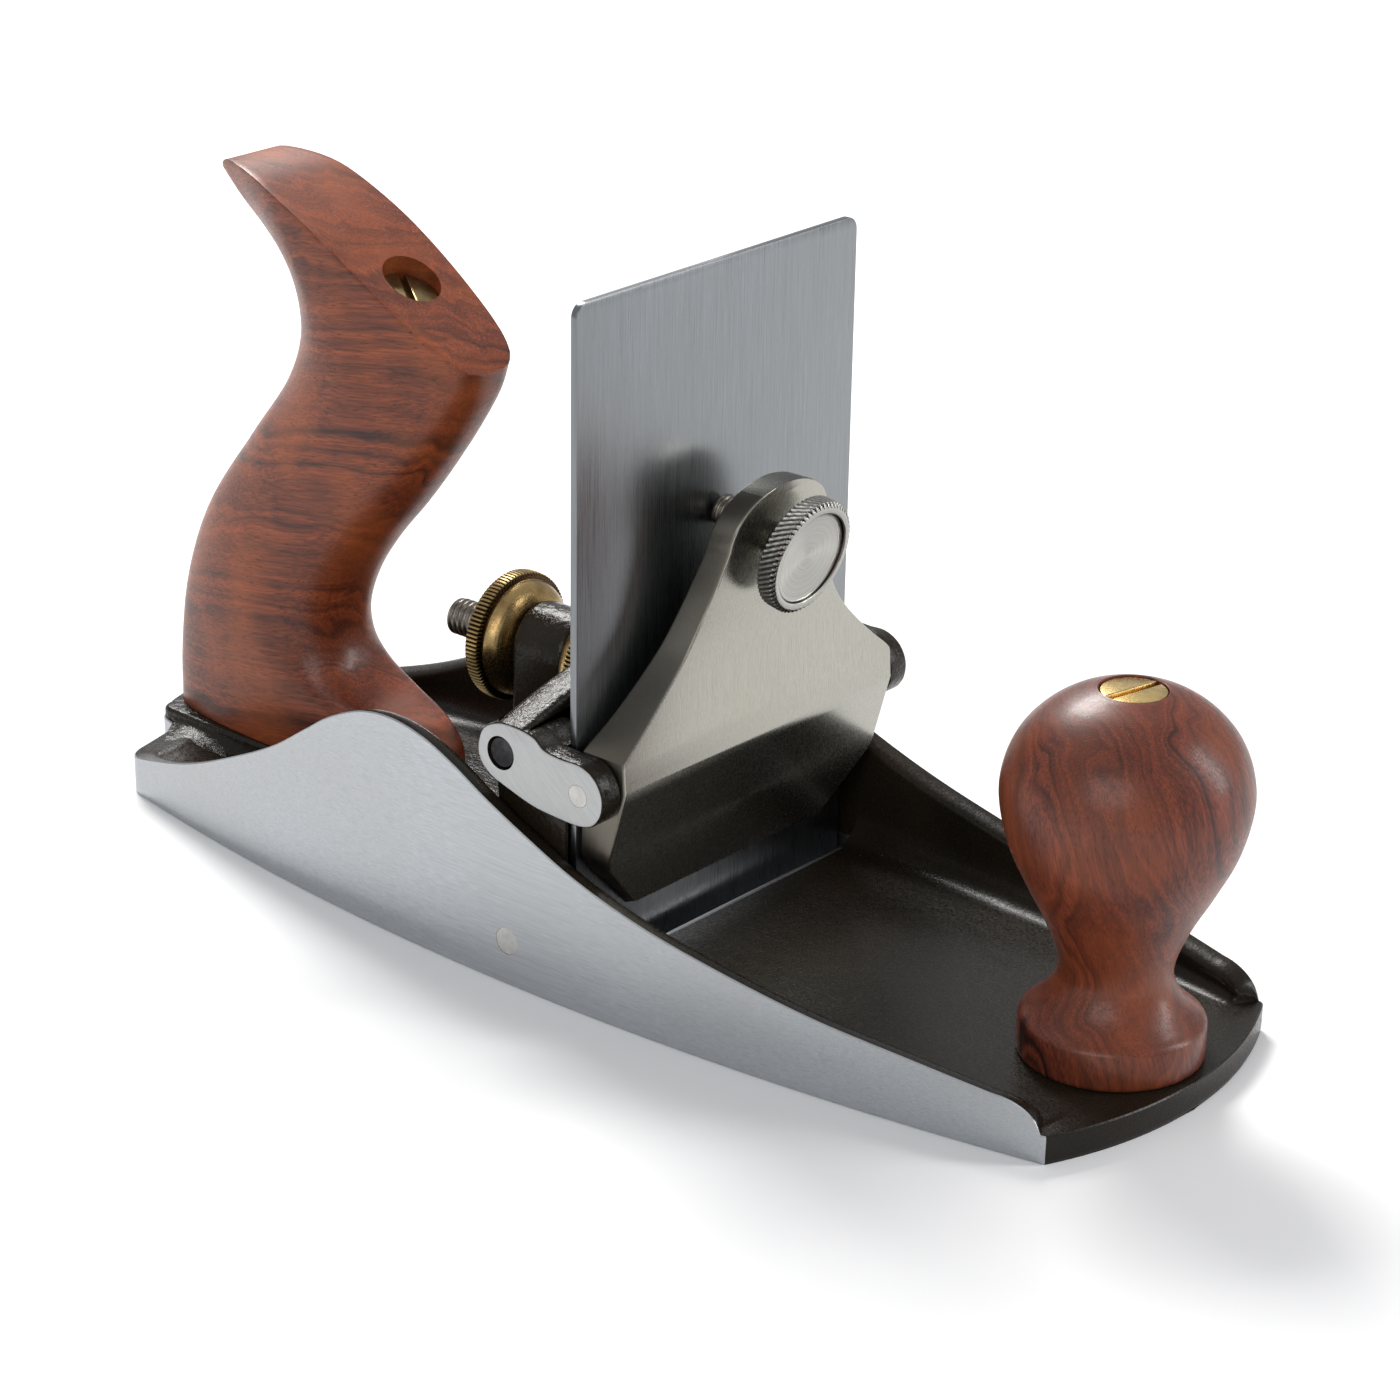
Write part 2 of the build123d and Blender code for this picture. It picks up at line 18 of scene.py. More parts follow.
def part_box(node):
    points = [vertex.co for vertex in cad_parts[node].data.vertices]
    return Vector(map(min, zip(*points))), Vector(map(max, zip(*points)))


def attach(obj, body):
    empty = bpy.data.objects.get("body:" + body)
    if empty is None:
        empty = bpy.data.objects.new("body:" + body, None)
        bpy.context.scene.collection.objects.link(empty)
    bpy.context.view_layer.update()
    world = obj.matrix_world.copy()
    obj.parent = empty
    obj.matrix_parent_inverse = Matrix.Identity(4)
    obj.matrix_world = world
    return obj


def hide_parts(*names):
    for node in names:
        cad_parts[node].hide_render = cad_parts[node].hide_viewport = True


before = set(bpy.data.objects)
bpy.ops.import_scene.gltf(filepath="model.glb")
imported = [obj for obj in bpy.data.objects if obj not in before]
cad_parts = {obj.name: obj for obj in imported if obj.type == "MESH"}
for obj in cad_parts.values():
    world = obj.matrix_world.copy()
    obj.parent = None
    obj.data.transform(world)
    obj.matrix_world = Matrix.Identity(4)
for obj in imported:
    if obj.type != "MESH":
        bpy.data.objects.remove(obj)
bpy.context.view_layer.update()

# %% [markdown]
# ## Measures
#
# The same driving dimensions as the CAD part, in millimetres. Shapes are worked out in
# millimetres, because small whole numbers are easy to read, and the mesh helper turns them into
# metres at the last moment. +X points forward to the toe, +Y to the left and +Z up.

# %% Driving dimensions
MM = 0.001
toe_x, heel_x = 120.5, -109.5
tongue_back, tongue_half_width, tongue_bend = -118.8, 12.5, 4.5
sole_half_width = 42.4
widest_x = 8.0
side_radius = 530.0
heel_corner_x = -106.0
toe_corner_x = 113.0
cheek = 4.0
floor_top = 5.3
blade_x = 16.0
blade_half_width = 36.5
blade_thickness = 1.4
blade_height = 124.0
pivot_x, pivot_z = blade_x - 10.9, 8.5
cross_x, adjuster_z = blade_x - 12.6, 43.5
cap_pin_x, cap_pin_z = blade_x + 5.1, 40.7
ear_outer, ear_inner = 41.8, 37.0
post_back, post_front = blade_x - 42.0, blade_x - 30.0
rod_back = blade_x - 62.4
clamp_lean = math.radians(12.0)
wheel_face = np.array([blade_x + 21.0, 0.0, 75.7])
clamp_axis = np.array([math.cos(clamp_lean), 0.0, -math.sin(clamp_lean)])
knob_x = blade_x + 87.3
rod_lean = math.radians(20.0)
handle_rod = np.array([math.sin(rod_lean), 0.0, math.cos(rod_lean)])
handle_screw_at = np.array([blade_x - 73.0, 0.0, 105.2])

for node, want in (("blade", blade_height), ("front_knob", 70.6)):
    low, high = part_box(node)
    print(f"{node}: top at {high.z / MM:.1f} mm, expected {want:.1f} mm")

# %% [markdown]
# ## Turning arrays into meshes
#
# A grid of points is the plainest surface there is: neighbours in the grid are neighbours on the
# skin, so the faces follow from counting and no loop over points is needed. Several grids can be
# laid into one mesh and sewn where their edges meet. Creases are found by angle, so flat lands
# stay crisp and round stretches stay smooth.


# %% Grid helpers
def grid_faces(rows, columns, wrap_rows=False, wrap_columns=False):
    """Quads of a rows x columns grid: face (i, j) joins (i, j), (i+1, j), (i+1, j+1), (i, j+1)."""
    i = np.arange(rows if wrap_rows else rows - 1)[:, None]
    j = np.arange(columns if wrap_columns else columns - 1)[None, :]
    next_i, next_j = (i + 1) % rows, (j + 1) % columns
    corners = [i * columns + j, next_i * columns + j, next_i * columns + next_j, i * columns + next_j]
    return np.stack([np.broadcast_to(c, (i.size, j.size)) for c in corners], -1).reshape(-1, 4)


def skin(points, wrap_rows=False, wrap_columns=False, finish=0):
    """A grid of points (rows, columns, 3) as (points, faces, finish number of every face)."""
    points = np.asarray(points, float)
    faces = grid_faces(points.shape[0], points.shape[1], wrap_rows, wrap_columns)
    return points.reshape(-1, 3), faces.tolist(), [finish] * len(faces)


def lid(ring, finish=0):
    """One flat many-sided face over a closed ring of points."""
    ring = np.asarray(ring, float)
    return ring, [list(range(len(ring)))], [finish]


def build(name, skins, finishes, crease=35.0, sew=0.004):
    """One mesh object from several skins, sewn within `sew` mm, with faces turned outwards."""
    points, faces, kinds, start = [], [], [], 0
    for skin_points, skin_faces, skin_kinds in skins:
        points.append(skin_points * MM)
        faces += [[k + start for k in face] for face in skin_faces]
        kinds += skin_kinds
        start += len(skin_points)
    mesh = bpy.data.meshes.new(name)
    mesh.from_pydata(np.concatenate(points).tolist(), [], faces)
    for finish in finishes:
        mesh.materials.append(finish)
    mesh.polygons.foreach_set("material_index", kinds)
    sewn = bmesh.new()
    sewn.from_mesh(mesh)
    bmesh.ops.remove_doubles(sewn, verts=sewn.verts, dist=sew * MM)
    bmesh.ops.dissolve_degenerate(sewn, edges=sewn.edges, dist=1e-7)
    bmesh.ops.recalc_face_normals(sewn, faces=sewn.faces)
    sewn.to_mesh(mesh)
    sewn.free()
    piece = bpy.data.objects.new(name, mesh)
    bpy.context.scene.collection.objects.link(piece)
    shade(piece, crease)
    return piece


def shade(piece, crease=35.0):
    """Smooth shading, with edges sharper than `crease` degrees kept crisp."""
    mesh = piece.data
    mesh.polygons.foreach_set("use_smooth", np.ones(len(mesh.polygons), bool))
    mesh.set_sharp_from_angle(angle=math.radians(crease))
    mesh.update()


def fit(piece, body, slot, *nodes):
    """The piece rides on a body and stands for the CAD nodes named; the slot argument is not used."""
    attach(piece, body)
    if nodes:
        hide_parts(*nodes)
    triangles = sum(len(p.vertices) - 2 for p in piece.data.polygons)
    print(f"{piece.name}: {triangles} triangles")
    return piece


def apply_modifiers(piece):
    """Bakes the piece's modifiers into its mesh."""
    bpy.context.view_layer.update()
    depsgraph = bpy.context.evaluated_depsgraph_get()
    baked = bpy.data.meshes.new_from_object(piece.evaluated_get(depsgraph))
    piece.modifiers.clear()
    old = piece.data
    piece.data = baked
    baked.name = piece.name
    bpy.data.meshes.remove(old)


def cut(piece, cutters, crease=35.0):
    """Cuts closed cutter pieces out of a closed piece and throws the cutters away."""
    for cutter in cutters:
        knife = piece.modifiers.new("cut", "BOOLEAN")
        knife.operation, knife.solver, knife.object = "DIFFERENCE", "EXACT", cutter
    apply_modifiers(piece)
    for cutter in cutters:
        bpy.data.objects.remove(cutter)
    shade(piece, crease)


def joined(name, pieces):
    """One object made of several: their meshes are laid side by side into one. All of them must
    carry the same finishes in the same order."""
    whole = bmesh.new()
    for piece in pieces:
        whole.from_mesh(piece.data)
    mesh = bpy.data.meshes.new(name)
    whole.to_mesh(mesh)
    whole.free()
    for finish in pieces[0].data.materials:
        mesh.materials.append(finish)
    for piece in pieces:
        bpy.data.objects.remove(piece)
    result = bpy.data.objects.new(name, mesh)
    bpy.context.scene.collection.objects.link(result)
    return result


def smooth_step(value):
    """0 below 0, 1 above 1, and 3v^2 - 2v^3 in between."""
    v = np.clip(value, 0, 1)
    return v * v * (3 - 2 * v)


def smooth_through(points, per_span=12, closed=False):
    """A Catmull-Rom curve through the points: each span is the cubic whose end tangents are half
    the step between the two neighbours."""
    p = np.asarray(points, float)
    if closed:
        p = np.concatenate([p[-1:], p, p[:2]])
    else:
        p = np.concatenate([2 * p[:1] - p[1:2], p, 2 * p[-1:] - p[-2:-1]])
    t = (np.arange(per_span) / per_span)[None, :, None]
    a, b, c, d = p[:-3, None], p[1:-2, None], p[2:-1, None], p[3:, None]
    square, cube = 2 * a - 5 * b + 4 * c - d, 3 * b - a - 3 * c + d
    curve = 0.5 * (2 * b + (c - a) * t + square * t**2 + cube * t**3)
    curve = curve.reshape(-1, p.shape[1])
    return curve if closed else np.concatenate([curve, p[-2:-1]])


def even(points, count):
    """The same open path as `count` points at equal distances along it."""
    points = np.asarray(points, float)
    along = np.concatenate([[0], np.cumsum(np.linalg.norm(np.diff(points, axis=0), axis=1))])
    at = np.linspace(0, along[-1], count)
    return np.stack([np.interp(at, along, points[:, k]) for k in range(points.shape[1])], 1)


def arc(centre, radius, start, end, count=16):
    """Points on a circle's arc in the plane, from one angle in degrees to another."""
    a = np.radians(np.linspace(start, end, count))[:, None]
    return np.asarray(centre, float) + radius * np.concatenate([np.cos(a), np.sin(a)], 1)


def outward(ring):
    """Unit normals of a closed plane ring, pointing out of it: the step from the neighbour before
    to the neighbour after, turned a quarter turn away from the inside."""
    step = np.roll(ring, -1, 0) - np.roll(ring, 1, 0)
    step /= np.maximum(np.linalg.norm(step, axis=1, keepdims=True), 1e-9)
    x, y = ring[:, 0], ring[:, 1]
    turning = np.sign(np.sum(x * np.roll(y, -1) - np.roll(x, -1) * y))
    return turning * np.stack([step[:, 1], -step[:, 0]], 1)


def slab(ring, rows, place, finish=0, end_finish=None):
    """A plate with worked edges: the closed plane ring is repeated at each (offset, height) of
    rows, moved outwards by the offset, and both ends are closed with flat lids."""
    ring = np.asarray(ring, float)
    normal = outward(ring)
    layers = [place(ring + offset * normal, height) for offset, height in rows]
    ends = finish if end_finish is None else end_finish
    wall = skin(np.stack(layers), wrap_columns=True, finish=finish)
    return [wall, lid(layers[0], ends), lid(layers[-1], ends)]


def drilled(ring, holes, rows, place):
    """A plate like `slab` with round holes (centre, radius) through it: both lids are cut into
    triangles between the outline and the holes, and every hole gets its own wall."""
    ring = np.asarray(ring, float)
    normal = outward(ring)
    layers = [(ring + offset * normal, height) for offset, height in rows]
    circles = [arc(centre, radius, 0, 360, 49)[:-1] for centre, radius in holes]
    skins = [skin(np.stack([place(*layer) for layer in layers]), wrap_columns=True)]
    for layer, height in (layers[0], layers[-1]):
        loops = [layer, *circles]
        triangles = tessellate_polygon([np.pad(loop, ((0, 0), (0, 1))).tolist() for loop in loops])
        faces = [list(corners) for corners in triangles]
        skins.append((place(np.concatenate(loops), height), faces, [0] * len(faces)))
    walls = [np.stack([place(circle, layers[0][1]), place(circle, layers[-1][1])]) for circle in circles]
    return skins + [skin(wall, wrap_columns=True) for wall in walls]


def along_y(flat, height):
    """Plane points (x, z) at y = height."""
    return np.stack([flat[:, 0], np.full(len(flat), height), flat[:, 1]], 1)


def along_x(flat, height):
    """Plane points (y, z) at x = height."""
    return np.stack([np.full(len(flat), height), flat[:, 0], flat[:, 1]], 1)


def along_z(flat, height):
    """Plane points (x, y) at z = height."""
    return np.stack([flat[:, 0], flat[:, 1], height + 0 * flat[:, 0]], 1)


def edged(low, high, radius, steps=3):
    """Rows of a plate from low to high whose edges are rounded: quarter circles at both ends."""
    a = np.linspace(0, math.pi / 2, steps + 1)
    first = [(-radius * (1 - math.sin(t)), low + radius * (1 - math.cos(t))) for t in a]
    last = [(offset, low + high - height) for offset, height in reversed(first)]
    return first + last


def turned(profile, origin, axis, segments=96, finish=0, swell=None, start=0.0):
    """A lathe: each (height, radius) of the profile goes round the axis. A point is origin +
    height * axis + radius * (cos a * u + sin a * v). swell(angle, height) is added to the radius."""
    axis = np.asarray(axis, float) / np.linalg.norm(axis)
    u = np.array([0.0, 1.0, 0.0]) if abs(axis[1]) < 0.9 else np.array([1.0, 0.0, 0.0])
    v = np.cross(axis, u)
    angle = start + np.arange(segments) / segments * 2 * math.pi
    profile = np.asarray(profile, float)
    height, radius = profile[:, :1], profile[:, 1:2] + 0 * angle[None, :]
    if swell is not None:
        radius = radius + swell(angle[None, :], height) * (profile[:, 2:3] if profile.shape[1] > 2 else 1)
    radius = np.maximum(radius, 0)
    around = np.cos(angle)[None, :, None] * u + np.sin(angle)[None, :, None] * v
    points = np.asarray(origin, float) + height[..., None] * axis + radius[..., None] * around
    return skin(points, wrap_columns=True, finish=finish)

# %% [markdown]
# ## A small kit for node materials
#
# Every finish starts from the same few nodes: object coordinates, noise stretched along one
# direction, a colour ramp and a bump. A short class keeps each recipe readable. Values that are
# the same all over are set straight on the shader's own sockets.


# %% Material kit
class Finish:
    """A node material under construction, with short calls for the nodes used here."""

    def __init__(self, name, **sockets):
        self.material = bpy.data.materials.new(name)
        self.material.use_nodes = True
        self.nodes, self.links = self.material.node_tree.nodes, self.material.node_tree.links
        self.shader = self.nodes["Principled BSDF"]
        self.set(**sockets)
        self.where = self.nodes.new("ShaderNodeTexCoord").outputs["Object"]

    def set(self, **sockets):
        """Fixed values or links on the shader: names are the socket names with _ for spaces."""
        for key, value in sockets.items():
            socket = self.shader.inputs[key.replace("_", " ")]
            if isinstance(value, bpy.types.NodeSocket):
                self.links.new(value, socket)
            else:
                socket.default_value = value

    def node(self, kind, *inputs, **settings):
        """A node of that kind: settings are its properties, inputs fill its sockets in order."""
        node = self.nodes.new("ShaderNode" + kind)
        for key, value in settings.items():
            setattr(node, key, value)
        for socket, value in zip(node.inputs, inputs):
            if isinstance(value, bpy.types.NodeSocket):
                self.links.new(value, socket)
            elif value is not None:
                socket.default_value = value
        return node

    def stretched(self, scale, turn=(0, 0, 0), shift=(0, 0, 0)):
        """Object coordinates in millimetres, turned by degrees and scaled along each axis."""
        mapping = self.node("Mapping", self.where, vector_type="TEXTURE")
        mapping.inputs["Location"].default_value = [s * MM for s in shift]
        mapping.inputs["Rotation"].default_value = [math.radians(t) for t in turn]
        mapping.inputs["Scale"].default_value = [s * MM for s in scale]
        return mapping.outputs[0]

    def noise(self, vector, scale=1.0, detail=3.0, roughness=0.55, distortion=0.0):
        node = self.node("TexNoise", noise_dimensions="3D")
        self.links.new(vector, node.inputs["Vector"])
        settings = {"Scale": scale, "Detail": detail, "Roughness": roughness, "Distortion": distortion}
        for key, value in settings.items():
            node.inputs[key].default_value = value
        return node.outputs["Fac"]

    def cells(self, vector, scale=1.0):
        node = self.node("TexVoronoi", feature="F1")
        self.links.new(vector, node.inputs["Vector"])
        node.inputs["Scale"].default_value = scale
        return node.outputs["Distance"]

    def ramp(self, value, *stops):
        """A colour ramp: stops are (place, colour or grey)."""
        node = self.node("ValToRGB", value)
        while len(node.color_ramp.elements) < len(stops):
            node.color_ramp.elements.new(0.5)
        for element, (place, colour) in zip(node.color_ramp.elements, stops):
            element.position = place
            element.color = (*colour, 1) if hasattr(colour, "__len__") else (colour, colour, colour, 1)
        return node.outputs["Color"]

    def span(self, value, low, high, new_low=0.0, new_high=1.0):
        """The value's range low..high spread over new_low..new_high, clamped."""
        return self.node("MapRange", value, low, high, new_low, new_high, clamp=True).outputs[0]

    def sum(self, kind, a, b=0.5, c=0.5):
        return self.node("Math", a, b, c, operation=kind).outputs[0]

    def mix(self, factor, a, b):
        """Colour a turned into colour b by the factor."""
        node = self.node("Mix", data_type="RGBA", blend_type="MIX")
        for socket, value in ((node.inputs[0], factor), (node.inputs[6], a), (node.inputs[7], b)):
            if isinstance(value, bpy.types.NodeSocket):
                self.links.new(value, socket)
            else:
                socket.default_value = (*value, 1) if hasattr(value, "__len__") else value
        return node.outputs[2]

    def bump(self, *layers):
        """Heights in millimetres, as (value, depth) pairs, one bump node on top of the other."""
        normal = None
        for value, depth in layers:
            node = self.node("Bump")
            node.inputs["Strength"].default_value = 1.0
            node.inputs["Distance"].default_value = depth * MM
            self.links.new(value, node.inputs["Height"])
            if normal is not None:
                self.links.new(normal, node.inputs["Normal"])
            normal = node.outputs["Normal"]
        self.links.new(normal, self.shader.inputs["Normal"])


# %% [markdown]
# ## Ground and brushed steel
#
# The cheeks, the ears, the blade and the lever cap are all bare metal with fine straight
# scratches. They could share one material, but the grinding runs a different way on each, and
# the tints differ: the cheeks are blue-grey, the cap is warm. So one recipe takes the direction
# as stretch lengths: noise that is long one way and short the others is a scratch.


# %% Brushed metal
def brushed(name, colour, length, width, turn=(0, 0, 0), rough=0.33, depth=0.004, tint=0.08, along=None):
    """Bare metal with scratches `length` mm long in the direction given by `along` (an axis
    index) and `width` mm wide, over broad soft stains."""
    f = Finish(name, Metallic=1.0)
    scale = [width, width, width]
    scale[along] = length
    lines = f.noise(f.stretched(scale, turn), 1.0, 4.0, 0.65)
    fine = f.noise(f.stretched([s * 0.37 for s in scale], turn, (13, 7, 5)), 1.0, 3.0, 0.6)
    stains = f.noise(f.stretched((38, 38, 38)), 1.0, 3.0, 0.5)
    both = f.sum("MULTIPLY_ADD", fine, 0.5, f.sum("MULTIPLY", lines, 0.5))
    dark = [c * (1 - tint * 2.2) for c in colour]
    light = [min(1.0, c * (1 + tint)) for c in colour]
    grain = f.ramp(both, (0.32, dark), (0.5, colour), (0.7, light))
    glints = f.span(fine, 0.56, 0.72, 0.0, 0.5)
    grain = f.mix(glints, grain, [min(1.0, c * 1.5) for c in colour])
    stained = [c * share for c, share in zip(colour, (0.9, 0.87, 0.83))]
    worn = f.mix(f.span(stains, 0.35, 0.7, 0.0, 0.35), grain, stained)
    gloss = f.span(both, 0.3, 0.7, rough - 0.06, rough + 0.09)
    f.set(Base_Color=worn, Roughness=gloss, Anisotropic=0.45)
    f.bump((both, depth))
    return f.material


ground_cheek = brushed(
    "ground_cheek", (0.47, 0.49, 0.51), 22.0, 0.22, rough=0.36, depth=0.006, tint=0.12, along=0)
ground_sole = brushed("ground_sole", (0.55, 0.56, 0.58), 40.0, 0.2, rough=0.34, depth=0.004, along=0)
ground_ear = brushed(
    "ground_ear", (0.44, 0.45, 0.455), 9.0, 0.2,
    turn=(0, 38, 0), rough=0.38, depth=0.006, tint=0.14, along=0)
blade_steel = brushed(
    "blade_steel", (0.225, 0.238, 0.250), 26.0, 0.2, rough=0.28, depth=0.004, tint=0.13, along=2)
cap_steel = brushed(
    "cap_steel", (0.37, 0.362, 0.322), 20.0, 0.2, rough=0.26, depth=0.0045, tint=0.11, along=2)
# Painted shade: a darker copy of the cap's ground steel, for its sides, top, underside and screw hole.
shaded_cap_steel = brushed(
    "shaded_cap_steel", (0.17, 0.155, 0.13), 10.0, 0.22, rough=0.36, depth=0.006, tint=0.1, along=2)
print("brushed finishes:", [m.name for m in bpy.data.materials if "steel" in m.name or "ground" in m.name])

# %% [markdown]
# ## Turned steel and small dark parts
#
# The clamp wheel's face was cut on a lathe, so its scratches are rings. Rings need the distance
# from the axis, and the axis leans, so the coordinates are first turned to stand on it. The rods
# and studs are a darker, oily grey, and their threads hold grime.


# %% Turned and threaded steel
def rings_about(f, centre, lean_degrees, pitch):
    """A fine wave of the distance from an axis through centre, leaning in the XZ plane."""
    on_axis = f.stretched((1, 1, 1), (0, lean_degrees, 0), centre)
    split = f.node("SeparateXYZ", on_axis)
    flat = f.node("CombineXYZ", 0.0, split.outputs[1], split.outputs[2]).outputs[0]
    distance = f.node("VectorMath", flat, operation="LENGTH").outputs["Value"]
    wobble = f.noise(on_axis, 0.35, 2.0)
    wave = f.sum("SINE", f.sum("MULTIPLY", f.sum("ADD", distance, wobble), 2 * math.pi / pitch))
    band = f.node("CombineXYZ", distance, 0.0, 0.0).outputs[0]
    return wave, f.noise(band, 4.0, 4.0, 0.7), distance


def turned_steel():
    f = Finish("turned_steel", Metallic=1.0, Anisotropic=0.85)
    wave, bands, _ = rings_about(f, wheel_face, math.degrees(clamp_lean), 0.34)
    f.set(
        Base_Color=f.ramp(bands, (0.3, (0.26, 0.255, 0.235)), (0.7, (0.52, 0.51, 0.48))),
        Roughness=f.span(bands, 0.3, 0.7, 0.24, 0.36),
    )
    tangent = f.node("Tangent", direction_type="UV_MAP")
    f.links.new(tangent.outputs[0], f.shader.inputs["Tangent"])
    f.bump((wave, 0.004), (bands, 0.01))
    return f.material


def dark_steel(name, light, dark, grime=0.5):
    """Oily steel in two tones, with fine specks of grime."""
    f = Finish(name, Metallic=1.0)
    patches = f.noise(f.stretched((2.5, 2.5, 2.5)), 1.0, 4.0, 0.6)
    specks = f.noise(f.stretched((0.25, 0.25, 0.25)), 1.0, 3.0, 0.6)
    body = f.ramp(patches, (0.35, dark), (0.65, light))
    f.set(
        Base_Color=f.mix(f.span(specks, 0.5, 0.75, 0.0, grime), body, (0.08, 0.065, 0.05)),
        Roughness=f.span(specks, 0.3, 0.7, 0.3, 0.5),
    )
    f.bump((specks, 0.01))
    return f.material


def knurled(name, centre, lean_degrees, low, high, light, dark):
    """Metal that is light on the knurl's ridges and dark in its grooves, a painted shade between
    the teeth: the colour follows the distance from the axis, from `low` to `high` mm."""
    f = Finish(name, Metallic=1.0)
    _, _, distance = rings_about(f, centre, lean_degrees, 1.0)
    specks = f.noise(f.stretched((0.35, 0.35, 0.35)), 1.0, 3.0, 0.6)
    # Painted shade: the colour darkens from the ridges down into the grooves.
    height = f.sum("ADD", f.span(distance, low, high), f.span(specks, 0.3, 0.7, -0.12, 0.12))
    middle = [0.5 * (a + b) for a, b in zip(light, dark)]
    f.set(
        Base_Color=f.ramp(height, (0.15, dark), (0.65, middle), (0.95, light)),
        Roughness=f.span(specks, 0.3, 0.7, 0.28, 0.42),
    )
    f.bump((specks, 0.012))
    return f.material


turned_face = turned_steel()
knurl_steel = knurled(
    "knurl_steel", wheel_face, math.degrees(clamp_lean), 9.85, 10.4,
    (0.42, 0.41, 0.38), (0.03, 0.027, 0.022))
thread_steel = dark_steel("thread_steel", (0.26, 0.235, 0.20), (0.13, 0.115, 0.10))
pin_steel = dark_steel("pin_steel", (0.60, 0.59, 0.58), (0.48, 0.47, 0.45), 0.2)
blued_steel = dark_steel("blued_steel", (0.05, 0.05, 0.055), (0.02, 0.02, 0.022), 0.3)

# %% [markdown]
# ## Aged brass
#
# The nuts and the two screws are turned brass that has been handled for years: gold where
# fingers polish it, brown in the grooves, and the knurls' grooves darker still as painted shade.
# The colour is broken by two noises, and faint rings show the lathe.


# %% Brass
def brass(name, light, dark, rough=0.3, axis_centre=None):
    f = Finish(name, Metallic=1.0)
    patches = f.noise(f.stretched((3.5, 3.5, 3.5)), 1.0, 4.0, 0.6)
    specks = f.noise(f.stretched((0.35, 0.35, 0.35)), 1.0, 3.0, 0.65)
    body = f.ramp(patches, (0.3, dark), (0.55, light), (0.75, [min(1, c * 1.12) for c in light]))
    f.set(
        Base_Color=f.mix(f.span(specks, 0.52, 0.75, 0.0, 0.55), body, (0.22, 0.12, 0.045)),
        Roughness=f.span(specks, 0.3, 0.7, rough - 0.06, rough + 0.12),
    )
    if axis_centre is not None:
        wave, bands, _ = rings_about(f, axis_centre, 0.0, 0.5)
        f.bump((wave, 0.004), (bands, 0.014), (specks, 0.006))
    else:
        f.bump((specks, 0.012), (patches, 0.02))
    return f.material


nut_brass = brass("nut_brass", (0.45, 0.31, 0.135), (0.26, 0.16, 0.065), 0.27, (0, 0, adjuster_z))
knurl_brass = knurled(
    "knurl_brass", (0, 0, adjuster_z), 0.0, 11.78, 12.2, (0.46, 0.33, 0.15), (0.05, 0.028, 0.012))
screw_brass = brass("screw_brass", (0.78, 0.57, 0.24), (0.50, 0.33, 0.12), 0.24)
dull_brass = brass("dull_brass", (0.33, 0.25, 0.12), (0.18, 0.13, 0.055), 0.34)

# %% [markdown]
# ## Japanning
#
# The castings are covered in baked black enamel. It is glossy, but it follows the sand grain of
# the iron underneath, so it sparkles: a coarse bump of rounded grains under a smooth clear skin.
# In the tray it shows a warm brown, with pin-prick specks.


# %% Baked black enamel
def japanning(name, grain=0.55, depth=0.05, rough=0.28):
    """Black enamel over cast grains about `grain` mm across and `depth` mm high."""
    f = Finish(name, Coat_Weight=0.05, Coat_Roughness=0.15, Specular_IOR_Level=0.2)
    grains = f.noise(f.stretched((grain, grain, grain)), 1.0, 3.0, 0.6)
    lumps = f.noise(f.stretched((3.2, 3.2, 3.2)), 1.0, 3.0, 0.5)
    broad = f.noise(f.stretched((30, 30, 30)), 1.0, 2.0, 0.5)
    specks = f.cells(f.stretched((0.9, 0.9, 0.9)), 1.0)
    body = f.ramp(broad, (0.35, (0.009, 0.0068, 0.0045)), (0.7, (0.018, 0.0128, 0.008)))
    f.set(
        Base_Color=f.mix(f.span(specks, 0.06, 0.14, 0.5, 0.0), body, (0.055, 0.042, 0.03)),
        Roughness=f.span(grains, 0.3, 0.7, rough - 0.08, rough + 0.14),
    )
    f.bump((lumps, depth * 1.6), (grains, depth))
    return f.material


japan = japanning("japanning", 0.6, 0.045, 0.27)
rough_japan = japanning("rough_japanning", 0.95, 0.2, 0.2)

# %% [markdown]
# ## Oiled hardwood
#
# The handle and the knob are a red-brown wood with dark streaks, short pores and a soft oil
# gloss. Wood is a solid pattern: growth layers that are nearly flat sheets through the piece,
# bent by noise. The handle's layers run along the grip, and the knob was turned from a block
# whose figure swirls, so each gets its own direction and bend.


